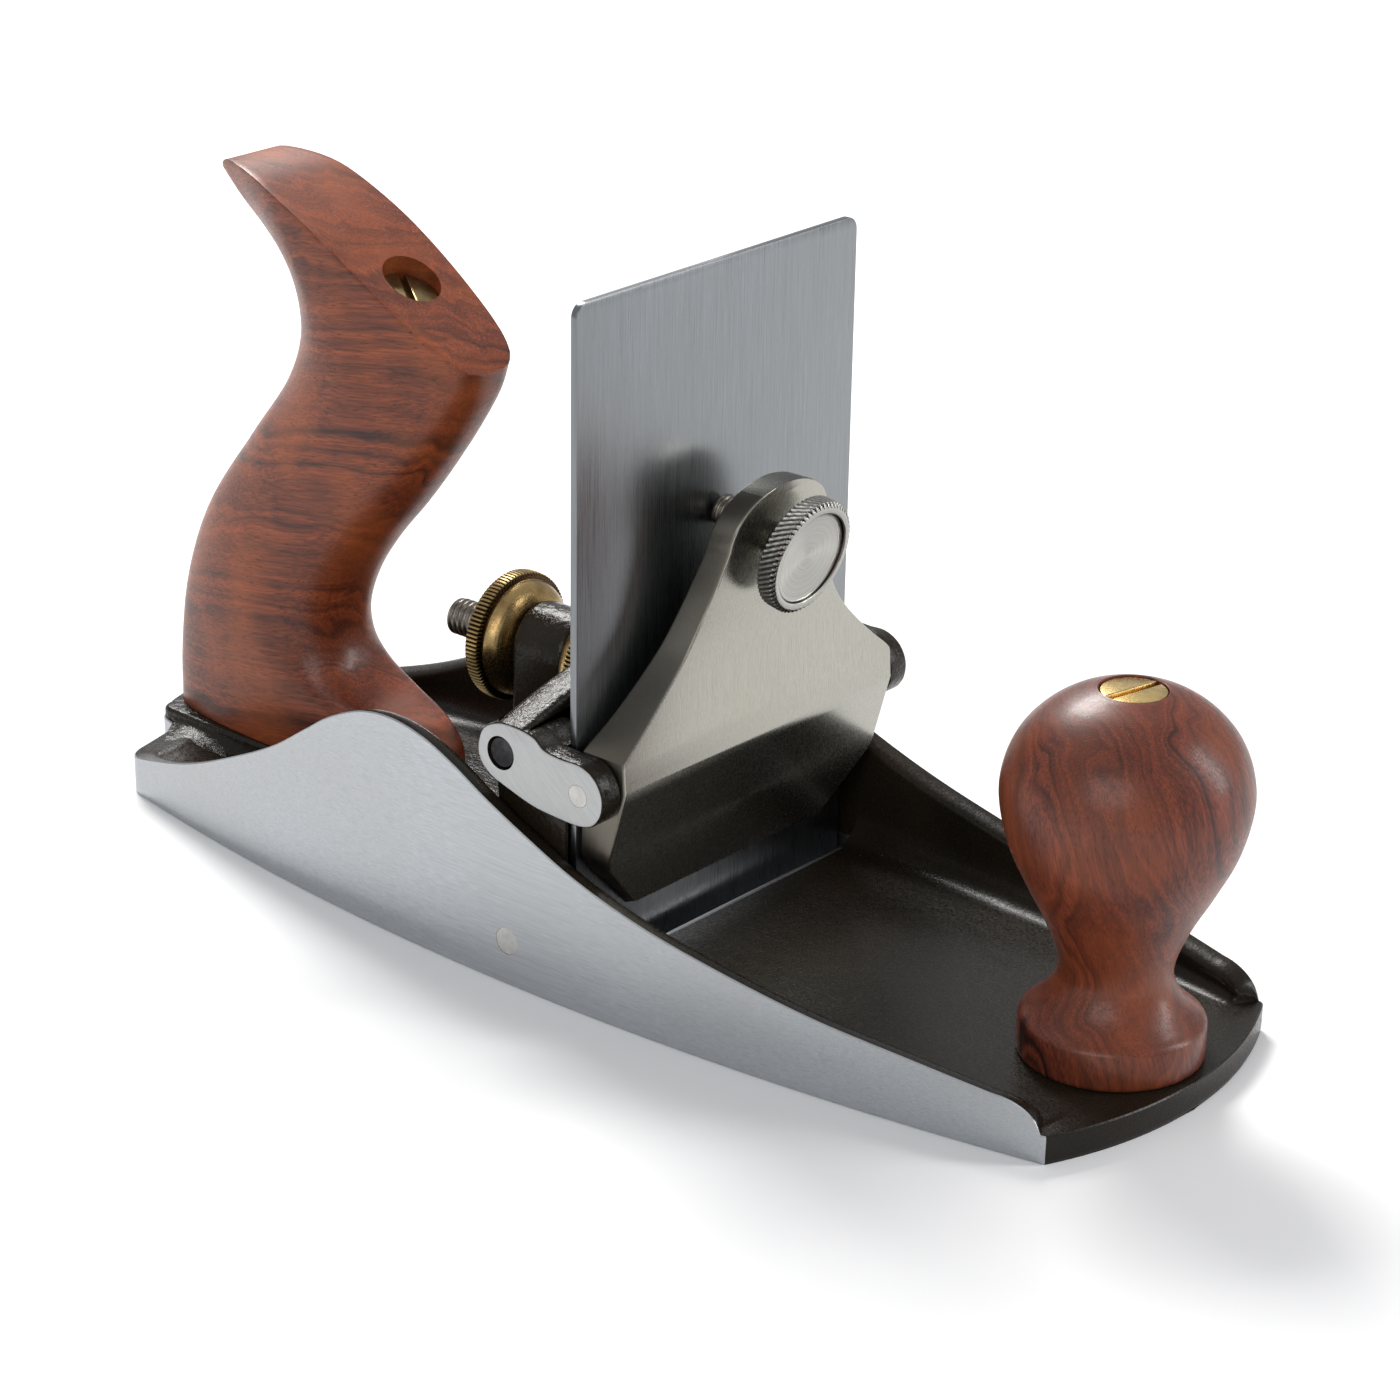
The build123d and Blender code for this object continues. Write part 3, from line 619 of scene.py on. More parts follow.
# %% Oiled hardwood
def hardwood(name, turn, layer, bend, along=2, swirl=1.0, wide=9.0,
             light=(0.255, 0.054, 0.018), dark=(0.030, 0.0075, 0.005)):
    """Layers `layer` mm apart, bent by `bend` mm over `wide` mm, with the grain along one axis."""
    f = Finish(name, Coat_Weight=0.12, Coat_Roughness=0.18, Specular_IOR_Level=0.34)
    stretch = [wide, wide, wide]
    stretch[along] = 60.0
    wander = f.noise(f.stretched(stretch, turn), 1.0, 3.0, 0.5, swirl)
    grain_place = f.stretched((1, 1, 1), turn)
    split = f.node("SeparateXYZ", grain_place)
    across = f.sum("ADD", split.outputs[2 - along], f.sum("MULTIPLY", split.outputs[1], 0.35))
    bent = f.sum("MULTIPLY_ADD", wander, bend, across)
    layers = f.noise(f.node("CombineXYZ", bent, 0.0, 0.0).outputs[0], 1.0 / layer, 4.0, 0.62)
    fibre_stretch = [0.35, 0.35, 0.35]
    fibre_stretch[along] = 9.0
    fibres = f.noise(f.stretched(fibre_stretch, turn), 1.0, 4.0, 0.6, 0.15)
    pore_stretch = [0.22, 0.22, 0.22]
    pore_stretch[along] = 3.2
    pores = f.noise(f.stretched(pore_stretch, turn, (3, 9, 2)), 1.0, 2.0, 0.5)
    figure = f.noise(f.stretched((16, 16, 22), turn), 1.0, 2.0, 0.5)
    middle = [0.55 * a + 0.45 * b for a, b in zip(light, dark)]
    body = f.ramp(layers, (0.36, dark), (0.46, middle), (0.56, light), (0.68, [c * 1.3 for c in light]))
    body = f.mix(f.span(fibres, 0.38, 0.64, 0.0, 0.6), body, [c * 0.7 for c in dark])
    glow = [light[0] * 1.5, light[1] * 1.7, light[2] * 1.1]
    body = f.mix(f.span(figure, 0.42, 0.66, 0.0, 0.4), body, glow)
    pore_mask = f.span(pores, 0.63, 0.70, 0.0, 1.0)
    body = f.mix(f.sum("MULTIPLY", pore_mask, 0.75), body, (0.035, 0.011, 0.006))
    f.set(Base_Color=body, Roughness=f.span(fibres, 0.3, 0.7, 0.34, 0.46))
    f.bump((f.sum("SUBTRACT", 1.0, pore_mask), 0.03), (fibres, 0.012))
    return f.material


handle_wood = hardwood("handle_hardwood", (0, -7, 6), 3.0, 11.0, along=0, swirl=0.8)
knob_wood = hardwood("knob_hardwood", (8, -14, 35), 2.2, 34.0, along=2, swirl=0.3, wide=24.0,
                     light=(0.185, 0.039, 0.018), dark=(0.020, 0.0055, 0.0045))

# %% [markdown]
# ## The body casting
#
# The body is a boat-shaped iron tray: a flat sole, two cheeks that rise to a hump beside the
# frog, and a floor that runs out at the toe. It could be cut from a block, but the casting has
# one wall section all the way round, so here a section is carried along the outline: out from
# the middle of the sole, up the ground cheek, over the rounded cast rim, down inside, round the
# fillet, and back along the floor to the middle. The mouth and the frog's bay are cut afterwards.


# %% Outline and rim of the body
heel_top = 7.3
toe_wall_end = 112.0


def side_half_width(x):
    """Half width at x: the side is one long arc about a point far on the other side."""
    return np.sqrt(side_radius**2 - (x - widest_x) ** 2) - (side_radius - sole_half_width)


def end_arc(apex_x, corner_x, half_chord, count):
    """The arc from its apex on the middle line to a corner: with depth d and half chord c its
    radius is (c^2 + d^2) / 2d."""
    depth = abs(apex_x - corner_x)
    radius = (half_chord**2 + depth**2) / (2 * depth)
    turn = np.linspace(0, math.asin(half_chord / radius), count)
    inwards = np.sign(corner_x - apex_x)
    return np.stack([apex_x + inwards * radius * (1 - np.cos(turn)), radius * np.sin(turn)], 1)


def rounded_near(path, corner, reach):
    """Rounds an even path off near a corner: there each point becomes the mean of its neighbours
    up to `reach` points away, and the change fades out with the distance."""
    kernel = np.ones(2 * reach + 1) / (2 * reach + 1)
    mean = path.copy()
    for k in (0, 1):
        mean[reach:-reach, k] = np.convolve(path[:, k], kernel, "valid")
    away = np.linalg.norm(path - corner, axis=1, keepdims=True)
    return path + (mean - path) * smooth_step(2 - away / (0.6 * reach))


def half_outline(count=520):
    """The left half of the plan from the back of the tongue to the toe: the tongue under the
    handle, a concave bend, the heel nearly straight across, the side, and the toe's arc."""
    x = np.linspace(heel_corner_x, toe_corner_x, 400)
    side = np.stack([x, side_half_width(x)], 1)
    tongue = end_arc(tongue_back, tongue_back + 2.6, tongue_half_width, 30)
    bend = arc((heel_x - tongue_bend, tongue_half_width + tongue_bend), tongue_bend, 270, 360, 16)
    toe = end_arc(toe_x, toe_corner_x, side_half_width(toe_corner_x), 60)[::-1]
    path = even(np.concatenate([tongue, bend, side, toe[1:]]), count)
    path = rounded_near(path, tongue[-1], 5)
    return rounded_near(path, side[0], 7)


def floor_height(x):
    """Height of the inside floor at x: the heel is one step higher, with a soft slope down."""
    return floor_top + (heel_top - floor_top) * (1 - smooth_step((x + 106.0) / 14))


def rim_height(x):
    """Height of the cheek's rim at x: a low heel, a hump beside the frog, a long slope to the
    toe, and a quarter ellipse down to the floor."""
    slope = smooth_through([
        (-125.0, 7.3), (-108.0, 7.3), (-96.0, 9.8), (-82.7, 14.0), (-68.0, 20.6), (-56.5, 26.5),
        (-47.0, 32.8), (-40.0, 37.4), (-31.5, 41.2), (-23.5, 42.4), (-15.5, 41.3), (-8.0, 38.4),
        (0.0, 34.3), (10.0, 29.7), (21.0, 25.1), (35.4, 20.8), (52.0, 17.4), (70.0, 14.4),
        (88.0, 12.4), (103.5, 10.5),
    ])
    t = np.linspace(0, math.pi / 2, 14)[1:]
    fall = np.stack([103.5 + 8.3 * np.sin(t), floor_top + 5.2 * np.cos(t)], 1)
    path = np.concatenate([slope, fall, [(130.0, floor_top)]])
    return np.interp(x, path[:, 0], path[:, 1])


plan = half_outline()
rim = rim_height(plan[:, 0])
print(f"plan: {plan[:, 0].min():.1f} to {plan[:, 0].max():.1f} mm long, half width {plan[:, 1].max():.2f}")
print(f"rim: {rim.min():.1f} to {rim.max():.1f} mm high")


# %% Carry the section along the outline
def section_rows():
    """Rows of the section as (inward distance, height, finish of the strip after it), one value
    for each point of the outline. h is the rim and f the floor: a small round at the sole's edge,
    the cheek up to h, the rim as a quarter ellipse across the wall, the inner wall, a fillet as a
    quarter circle down to f. Finishes: 0 enamel, 1 ground cheek, 2 ground sole."""
    zero = np.zeros_like(rim)
    low = floor_height(plan[:, 0])
    wall = np.maximum(rim - low, 0.0)
    round_over, fillet = np.minimum(2.0, 0.45 * wall), np.minimum(6.0, 0.55 * wall)
    rows = [(zero + 0.7, zero, 1), (zero + 0.2, zero + 0.15, 1), (zero, zero + 0.5, 1)]
    rows += [(zero, 0.5 + (rim - 0.78) * share, 1) for share in np.linspace(0.12, 1.0, 9)]
    rows += [(zero + 0.22, rim - 0.04, 0)]
    turn = np.radians(np.linspace(15, 90, 7))
    rows += [
        (0.22 + (cheek - 0.22 + zero) * math.sin(t), rim - round_over * (1 - math.cos(t)), 0) for t in turn
    ]
    drop = rim - round_over - low - fillet
    rows += [(cheek + 0.15 * share + zero, rim - round_over - drop * share, 0) for share in (0.35, 0.7)]
    turn = np.radians(np.linspace(0, 90, 9))
    rows += [
        (cheek + 0.15 + fillet * (1 - math.cos(t)), low + fillet * (1 - math.sin(t)), 0) for t in turn
    ]
    return rows


def body_skins(side):
    """The section's rows moved inwards from the outline, then on to the middle line of the floor
    and of the sole. The wall has run out before the toe's corner, so there the rows stay at the
    edge. side is +1 for the left half and -1 for its mirror image."""
    step = np.gradient(plan, axis=0)
    step /= np.linalg.norm(step, axis=1, keepdims=True)
    inward = np.stack([step[:, 1], -step[:, 0]], 1)
    middle = np.clip(plan[:, 0], tongue_back + 0.001, toe_x - 0.001)
    rows, finishes = [], []
    for distance, height, finish in section_rows():
        kept_width = 1 - smooth_step((plan[:, 0] - toe_wall_end + 2.0) / 2.0)
        distance = np.minimum(distance, 0.22 + distance * kept_width)
        flat = plan + distance[:, None] * inward
        rows.append(np.stack([flat[:, 0], np.maximum(flat[:, 1], 0.0), height], 1))
        finishes.append(finish)
    floor_line = np.stack([middle, 0 * middle, floor_height(middle)], 1)
    sole_line = np.stack([middle, 0 * middle, 0 * middle], 1)
    rows = [sole_line, (sole_line + rows[0]) / 2] + rows
    finishes = [2, 2] + finishes
    last = rows[-1]
    rows += [last + (floor_line - last) * share for share in (0.3, 0.65, 1.0)]
    finishes += [0, 0, 0]
    rows = np.stack(rows) * (1, side, 1)
    return [skin(rows[k : k + 2], finish=finishes[k]) for k in range(len(rows) - 1)]


body_finishes = [japan, ground_cheek, ground_sole]
casting = build("plane_body_casting", body_skins(1) + body_skins(-1), body_finishes, sew=0.008)
print("casting:", len(casting.data.polygons), "faces")

# %% [markdown]
# ### Bay, mouth and holes
#
# The frog swings in a bay that is milled between the cheeks, its foot in a shallow recess, and
# the blade comes through a mouth across the sole. Such sharp pockets are what a milling cutter
# leaves, so they are cut out with boxes. The front edge of the mouth is left bright: a narrow
# ground land.


# %% Cut the pockets
def block(name, low, high, finish):
    """A closed box from its low to its high corner, in millimetres."""
    (x0, y0, z0), (x1, y1, z1) = low, high
    ring = np.array([(x0, y0), (x1, y0), (x1, y1), (x0, y1)])
    return build(name, slab(ring, [(0, z0), (0, z1)], along_z), [finish])


def rod_piece(name, origin, axis, length, radius, finish, segments=48):
    """A plain closed cylinder from origin along axis."""
    profile = [(0, 0), (0, radius), (length, radius), (length, 0)]
    return build(name, [turned(profile, origin, axis, segments)], [finish])


mouth_back, mouth_front = blade_x - 8.5, blade_x + 3.5
recess_back, recess_floor, bay_half = blade_x - 17.6, 2.7, 38.2
cut(casting, [
    block("bay", (recess_back, -bay_half, floor_top + 0.002), (mouth_front, bay_half, 60), japan),
    block("recess", (recess_back, -bay_half + 0.03, recess_floor),
          (mouth_back + 1, bay_half - 0.03, 20), japan),
    block("mouth", (mouth_back, -bay_half + 0.05, -5), (mouth_front - 0.03, bay_half - 0.05, 20), japan),
    rod_piece("knob_hole", (knob_x, 0, 1.0), (0, 0, 1), 20, 2.5, japan),
    rod_piece("left_pivot_hole", (pivot_x, bay_half - 1, pivot_z), (0, 1, 0), 12, 2.54, japan),
    rod_piece("right_pivot_hole", (pivot_x, -bay_half + 1, pivot_z), (0, -1, 0), 12, 2.54, japan),
], crease=32)


def paint_faces(piece, finish, where):
    """Gives the faces whose centre (mm) and normal pass the test another finish."""
    mesh = piece.data
    count = len(mesh.polygons)
    centre, normal, kinds = np.zeros(count * 3), np.zeros(count * 3), np.zeros(count, int)
    mesh.polygons.foreach_get("center", centre)
    mesh.polygons.foreach_get("normal", normal)
    mesh.polygons.foreach_get("material_index", kinds)
    chosen = where(centre.reshape(-1, 3) / MM, normal.reshape(-1, 3))
    kinds[chosen] = finish
    mesh.polygons.foreach_set("material_index", kinds)
    print(f"{piece.name}: {int(chosen.sum())} faces get finish {finish}")


paint_faces(casting, 2, lambda c, n: (c[:, 0] > mouth_back - 0.1) & (c[:, 0] < mouth_front + 0.1)
            & (np.abs(c[:, 1]) < bay_half + 0.1) & (c[:, 2] < floor_top) & (np.abs(n[:, 2]) < 0.5))
paint_faces(casting, 0, lambda c, n: (c[:, 0] > toe_corner_x) & (np.abs(n[:, 0]) > 0.6))

# %% [markdown]
# ### Pedestal, post and the ground land
#
# The handle stands on a raised pedestal that flows out of the floor, and the adjuster's post
# rises from its front end. Both are plates with worked edges: the outline is repeated at a few
# offsets and heights, wide and low at the foot to make the cast fillet, then tight and rounded
# at the top. They belong to the casting, so they ride on the same body as it.


# %% Raised parts of the casting
def foot_rows(low, high, spread, top_round, steps=6):
    """Rows for a raised boss: a concave quarter circle of radius `spread` from the floor, a
    straight side, and a convex quarter circle at the top."""
    a = np.radians(np.linspace(0, 90, steps))
    concave = [(spread * (1 - math.sin(t)), low + spread * (1 - math.cos(t))) for t in a]
    convex = [(-top_round * (1 - math.cos(t)), high - top_round * (1 - math.sin(t))) for t in a]
    return concave + convex


def pedestal_ring():
    """Plan of the pedestal: the tongue's end, straight sides, and a narrow front end."""
    back = end_arc(tongue_back + 0.3, tongue_back + 2.5, tongue_half_width - 2.6, 14)
    corner = arc((tongue_back + 5.0, tongue_half_width - 2.8), 2.6, 172, 90, 8)
    sides = even([(-112.0, 12.4), (-100.0, 12.9), (-60.0, 12.9), (post_front - 3.5, 10.5)], 30)
    nose = arc((post_front - 3.0, 0), 10.6, 85, 0, 14)
    half = np.concatenate([back, corner, sides, nose])
    return np.concatenate([half, half[1:-1][::-1] * (1, -1)])


def pedestal_rows(ring, high, top_round, steps=9):
    """The same rows for the pedestal, but starting on the stepped floor: the sweep is wide at
    the heel, narrow beside the grip, and gone at the tongue's own end."""
    x = ring[:, 0]
    low = floor_height(x) - 0.02
    into_bend = np.clip(x - (heel_x - tongue_bend), 0, tongue_bend)
    bend_width = tongue_bend - np.sqrt(tongue_bend**2 - into_bend**2)
    wide = 3.0 + 5.0 * smooth_step((-92 - x) / 12)
    widening = tongue_bend + (wide - tongue_bend) * smooth_step((x - heel_x) / 4)
    spread = np.where(x < heel_x, bend_width, widening)
    a = np.radians(np.linspace(0, 90, steps))
    rise = high - top_round - low
    sweep = [((spread * (1 - math.sin(t)))[:, None], low + rise * (1 - math.cos(t))) for t in a]
    return sweep + [(-top_round * (1 - math.cos(t)), high - top_round * (1 - math.sin(t))) for t in a]


def arch_ring(half, spring, low):
    """A round-topped doorway shape in (y, z)."""
    top = arc((0, spring), half, 0, 180, 28)
    down = even([(-half, spring), (-half, low)], 8)[1:]
    return np.concatenate([top, down, down[::-1] * (-1, 1)])


def raised(name):
    """Pedestal, adjuster post and post foot as closed skins."""
    ring = pedestal_ring()
    pedestal = slab(ring, pedestal_rows(ring, 9.5, 0.9), along_z)
    post = slab(arch_ring(7.7, 44.0, 9.0), edged(post_back, post_front, 1.3, 4), along_x)
    foot_plan = even([
        (post_back, -7.7), (post_front, -7.7), (post_front, 7.7), (post_back, 7.7), (post_back, -7.7),
    ], 81)[:-1]
    foot = slab(foot_plan, [(o - 0.15, z) for o, z in foot_rows(9.4, 15.0, 3.0, 0.2)], along_z)
    piece = build(name, pedestal + post + foot, [rough_japan, japan], crease=50)
    paint_faces(piece, 1, lambda c, n: (c[:, 2] > 10.0) & (c[:, 2] < 44.0) & (np.abs(n[:, 1]) > 0.9))
    return piece


def fit_body():
    raised_piece = raised("plane_body_raised")
    rod_hole = rod_piece("rod_hole", (post_back - 5, 0, adjuster_z), (1, 0, 0), 25, 4.2, japan)
    cut(raised_piece, [rod_hole], crease=50)
    land = build("plane_body_land", slab(
        np.array([(mouth_front - 0.05, -bay_half + 0.4), (mouth_front + 0.75, -bay_half + 0.4),
                  (mouth_front + 0.75, bay_half - 0.4), (mouth_front - 0.05, bay_half - 0.4)]),
        edged(floor_top - 0.3, floor_top + 0.05, 0.04, 2), along_z), [ground_ear])
    fit(raised_piece, "chassis", "japanned_iron")
    fit(land, "chassis", "japanned_iron")
    fit(casting, "chassis", "japanned_iron", "plane_body")


fit_body()

# %% [markdown]
# ## The frog
#
# The frog is the casting that tilts. Two ears stand above the cheeks and carry the cross rod and
# the cap's pins, an arched web ties them together behind the blade, and a bed runs down
# to the pivot bar in the body. It is made as the pattern maker would: flat plates with eased
# edges, set against each other. Only the outer faces of the ears are ground bright.


# %% Frog
def at_blade(points):
    """Side-view points given from the blade's front face, as (x, z)."""
    return np.asarray(points, float) + (blade_x, 0)


def ear_ring():
    """Ear outline: a bar with two round lobes, one about the cross rod and one about the pin."""
    return smooth_through(at_blade([
        (-18.0, 43.6), (-16.6, 47.2), (-13.0, 49.1), (-8.6, 49.3), (-5.0, 48.6), (-2.6, 47.0), (1.4, 46.5),
        (5.6, 46.5), (8.8, 44.9), (10.5, 42.0), (10.3, 38.6), (8.4, 36.0), (5.2, 35.0), (0.0, 35.1),
        (-5.2, 35.6), (-10.4, 37.0), (-15.0, 38.6), (-17.4, 40.8),
    ]), 8, closed=True)


def both_sides(skins):
    """The skins and their mirror images on the other side of the plane."""
    return skins + [(points * (1, -1, 1), faces, kinds) for points, faces, kinds in skins]


def ear_plate(side):
    """The outer plate of one ear, with its two holes: side is +1 for left and -1 for right."""
    rod_hole_radius, pin_hole_radius = 3.08, 2.05
    holes = [((cross_x, adjuster_z), rod_hole_radius), ((cap_pin_x, cap_pin_z), pin_hole_radius)]
    rows = [(offset, side * height) for offset, height in edged(ear_inner, ear_outer, 0.45, 3)]
    ear = build("ear_plate", drilled(ear_ring(), holes, rows, along_y), [rough_japan, ground_ear], crease=40)
    paint_faces(ear, 1, lambda c, n: (np.abs(c[:, 1]) > ear_outer - 0.2) & (np.abs(n[:, 1]) > 0.9))
    return ear


def frog_skins():
    bed_front = blade_x - blade_thickness - 0.05
    ear_back = ear_ring()
    ear_back[:, 0] = np.minimum(ear_back[:, 0], bed_front)
    wall = even(at_blade([
        (-15.9, 8.4), (-18.0, 42.0), (-14.6, 47.5), (-7.0, 47.8), (-1.45, 44.0), (-1.45, 4.0),
        (-7.2, 5.2), (-15.9, 8.4),
    ]), 60)[:-1]
    bed = np.array([(blade_x - 5.4, 3.6), (bed_front, 3.6), (bed_front, 44.0), (blade_x - 5.4, 44.0)])
    boss = arc((pivot_x, pivot_z), 5.2, 0, 360, 49)[:-1]
    top = arc((0, -66.9), 123.4, 109.7, 70.3, 40)
    under = even(smooth_through([
        (31.5, 43.0), (22.0, 48.0), (11.0, 51.4), (0, 52.4), (-11.0, 51.4), (-22.0, 48.0), (-31.5, 43.0),
    ]), 40)
    web_foot = np.array([(41.4, 48.0), (37.2, 47.9), (36.8, 44.0)])
    web = np.concatenate([top, web_foot, under, web_foot[::-1] * (-1, 1)])
    ear_root = slab(ear_back, edged(31.9, 37.5, 0.3, 2), along_y)
    skins = both_sides(ear_root + slab(wall, edged(32.0, 37.7, 0.8, 3), along_y))
    skins += slab(bed, [(0, -37.5), (0, 37.5)], along_y)
    skins += slab(boss, edged(-37.7, 37.7, 0.5, 2), along_y)
    skins += slab(web, edged(blade_x - 13.7, blade_x - 6.7, 1.3, 4), along_x)
    return skins


frog = joined("frog_casting", [
    build("frog_middle", frog_skins(), [rough_japan, ground_ear], crease=40), ear_plate(1), ear_plate(-1)])
fit(frog, "frog", "japanned_iron", "frog")

# %% [markdown]
# ## The blade
#
# A scraper blade is a plain thick plate with eased corners and a 45 degree bevel on the back of
# its cutting edge. The bevel is made by lifting the back face's lowest points.


# %% Blade
def blade_ring():
    """Front outline as (y, z): square at the edge, with small round corners at the top."""
    left_top = arc((blade_half_width - 2.5, blade_height - 2.5), 2.5, 0, 90, 10)
    right_top = arc((-blade_half_width + 2.5, blade_height - 2.5), 2.5, 90, 180, 10)
    return np.concatenate([[(-blade_half_width, 0.0), (blade_half_width, 0.0)], left_top, right_top])


def blade_place(flat, height):
    points = along_x(flat, height)
    back = height < blade_x - 0.7 * blade_thickness
    points[:, 2] = np.where((flat[:, 1] < 0.3) & back, 1.25, points[:, 2])
    points[:, 2] = np.maximum(points[:, 2], 0.02)
    return points


blade_rows = edged(blade_x - blade_thickness, blade_x, 0.13, 2)
blade = build("scraper_blade", slab(blade_ring(), blade_rows, blade_place), [blade_steel])
fit(blade, "blade", "blade_steel", "blade")

# %% [markdown]
# ## The lever cap
#
# The cap is one steel casting, ground all over: a wide plate below, a narrow neck that leans
# forward above, and a lip that presses on the blade near its edge. Its section at any height is
# a rectangle with eased corners, so three curves say everything: the half width, the front face
# and the back face, each as a function of height. The rectangles are stacked into a loft.


# %% Lever cap
def cap_stations():
    """Heights with the half width, back x and front x there. The top is a round end, so its
    stations are spaced by a sine."""
    width = np.concatenate([
        [(12.9, 23.6), (26.0, 36.6), (45.4, 36.6)],
        smooth_through([(46.2, 36.4), (47.6, 34.9), (50.6, 31.2), (54.2, 27.2), (58.3, 23.1), (62.7, 19.6),
                        (69.5, 16.1), (75.0, 14.2), (78.5, 13.1)], 6),
    ])
    front = np.concatenate([
        at_blade([(0.2, 12.9), (4.25, 15.1), (8.75, 31.5), (11.2, 40.6)])[:, ::-1],
        smooth_through(at_blade([
            (11.15, 41.1), (10.7, 48.0), (10.5, 56.0), (10.9, 63.0), (12.0, 70.0), (13.4, 77.0), (15.4, 88.3),
        ])[:, ::-1], 6),
    ])
    back = np.concatenate([
        at_blade([(0.05, 12.9), (0.05, 15.6), (1.1, 17.5), (1.1, 44.0)])[:, ::-1],
        smooth_through(at_blade([
            (1.2, 46.0), (2.6, 51.0), (4.4, 61.0), (6.3, 70.0), (8.1, 77.0), (10.2, 88.3),
        ])[:, ::-1], 6),
    ])
    z = np.concatenate([
        [12.9, 13.9, 15.1, 15.6, 17.5], np.linspace(19.5, 40.6, 12), [41.1],
        np.linspace(42.5, 78.5, 50)[:-1],
    ])
    turn = np.linspace(0, math.pi / 2, 24)
    round_start, round_height, neck_half_width = 78.5, 9.7, 13.1
    round_z = round_start + round_height * np.sin(turn)
    round_width = neck_half_width * np.cos(turn) ** 0.92
    w = np.concatenate([np.interp(z, width[:, 0], width[:, 1]), round_width])
    z = np.concatenate([z, round_z])
    back_x, front_x = np.interp(z, back[:, 0], back[:, 1]), np.interp(z, front[:, 0], front[:, 1])
    return z, np.maximum(w, 0.02), back_x, front_x


def cap_skins(ease=0.55, corner_steps=5):
    """Each ring is four quarter circles of radius `ease`, one at each corner of the rectangle
    from (back, -w) to (front, w)."""
    z, w, back, front = cap_stations()
    radius = np.minimum(ease, 0.45 * np.minimum(front - back, w))
    ring = []
    for start, along_front, along_left in ((0, 1, 1), (90, 0, 1), (180, 0, 0), (270, 1, 0)):
        a = np.radians(start + np.linspace(0, 90, corner_steps))[None, :]
        centre_x = np.where(along_front, front - radius, back + radius)[:, None]
        centre_y = np.where(along_left, w - radius, -w + radius)[:, None]
        x = centre_x + radius[:, None] * np.cos(a)
        y = centre_y + radius[:, None] * np.sin(a)
        ring.append(np.stack([x, y, z[:, None] + 0 * x], -1))
    rings = np.concatenate(ring, 1)
    return [skin(rings, wrap_columns=True), lid(rings[0]), lid(rings[-1])]


lever_cap = build("lever_cap_plate", cap_skins(), [cap_steel, shaded_cap_steel], crease=24)
screw_root, clamp_hole_radius = wheel_face - clamp_axis * 21.0, 2.96
clamp_hole = rod_piece("clamp_hole", screw_root, clamp_axis, 30, clamp_hole_radius, shaded_cap_steel)
cut(lever_cap, [clamp_hole], crease=24)
# Painted shade: the cap's faces that look sideways, up or down get the darker copy of its steel.
paint_faces(lever_cap, 1, lambda c, n: np.hypot(n[:, 1], 0.55 * n[:, 2]) > 0.62)
fit(lever_cap, "lever_cap", "cap_steel", "lever_cap")

# %% [markdown]
# ## Threads and knurls
#
# A thread is a ridge that climbs by one pitch each turn, so the radius depends on the height
# minus the angle's share of the pitch. A knurl is the same idea the other way up: teeth that
# depend on the angle, slanted if the height is mixed in. Both are put on the plain lathe as an
# extra radius, so real ridges catch the light at the rim instead of a painted bump.


# %% Ridges
def ridge(phase, sharp=1.0):
    """A rounded triangle wave from -1 in the grooves to 0 on the ridges, with period one."""
    saw = np.abs(2 * (phase - np.floor(phase)) - 1)
    return -(1 - np.clip(saw * (1 + 0.5 * sharp), 0, 1))


def thread(pitch, depth):
    return lambda angle, height: depth * ridge(height / pitch - angle / (2 * math.pi))


def knurl(teeth, depth, slant=0.0):
    return lambda angle, height: depth * ridge((angle + slant * height) * teeth / (2 * math.pi), 1.4)


def threaded_rod(origin, axis, length, radius, pitch, depth, finish=0, segments=40):
    """A lathe with a helical ridge, chamfered at both ends."""
    h = np.arange(0.6, length - 0.6, pitch / 9)
    rows = [(0, 0, 0), (0, radius - 1.1 * depth - 0.2, 0), (0.35, radius - 0.6 * depth, 0)]
    rows += [(k, radius, 1) for k in h]
    rows += [(length - 0.35, radius - 0.6 * depth, 0), (length, radius - 1.1 * depth - 0.2, 0)]
    rows += [(length, 0, 0)]
    return turned(rows, origin, axis, segments, finish, thread(pitch, depth))


def wrap_uv(piece, origin, axis):
    """A UV map that runs round the axis: U is the angle in turns and V the distance from the
    origin, so a tangent along U follows the lathe's scratches."""
    mesh = piece.data
    axis = np.asarray(axis, float)
    u = np.array([0.0, 1.0, 0.0])
    v = np.cross(axis, u)
    corner = np.zeros(len(mesh.loops), int)
    mesh.loops.foreach_get("vertex_index", corner)
    points = np.zeros(len(mesh.vertices) * 3)
    mesh.vertices.foreach_get("co", points)
    from_origin = points.reshape(-1, 3)[corner] / MM - origin
    turn = np.arctan2(from_origin @ v, from_origin @ u) / (2 * math.pi)
    first, total = np.zeros(len(mesh.polygons), int), np.zeros(len(mesh.polygons), int)
    mesh.polygons.foreach_get("loop_start", first)
    mesh.polygons.foreach_get("loop_total", total)
    reference = np.repeat(turn[first], total)
    turn = turn - np.round(turn - reference)
    layer = mesh.uv_layers.new(name="round_the_axis")
    layer.data.foreach_set("uv", np.stack([turn, np.linalg.norm(from_origin, axis=1) / 10], 1).ravel())


# %% [markdown]
# ## Clamp screw and wheel
#
# The screw goes through the cap and presses on the blade. Its wheel has a slanted knurl, a
# bright flat rim and a face that is dished on the lathe.

# %% Clamp screw and wheel
tip_gap = 0.5
screw_length = 21.0 / math.cos(clamp_lean) - tip_gap
screw_start = wheel_face - clamp_axis * screw_length
clamp_screw = build(
    "clamp_screw_thread",
    [threaded_rod(screw_start, clamp_axis, screw_length - 1.7, 2.88, 0.9, 0.32)],
    [thread_steel], crease=60,
)
fit(clamp_screw, "clamp_screw", "pin_steel", "clamp_screw")

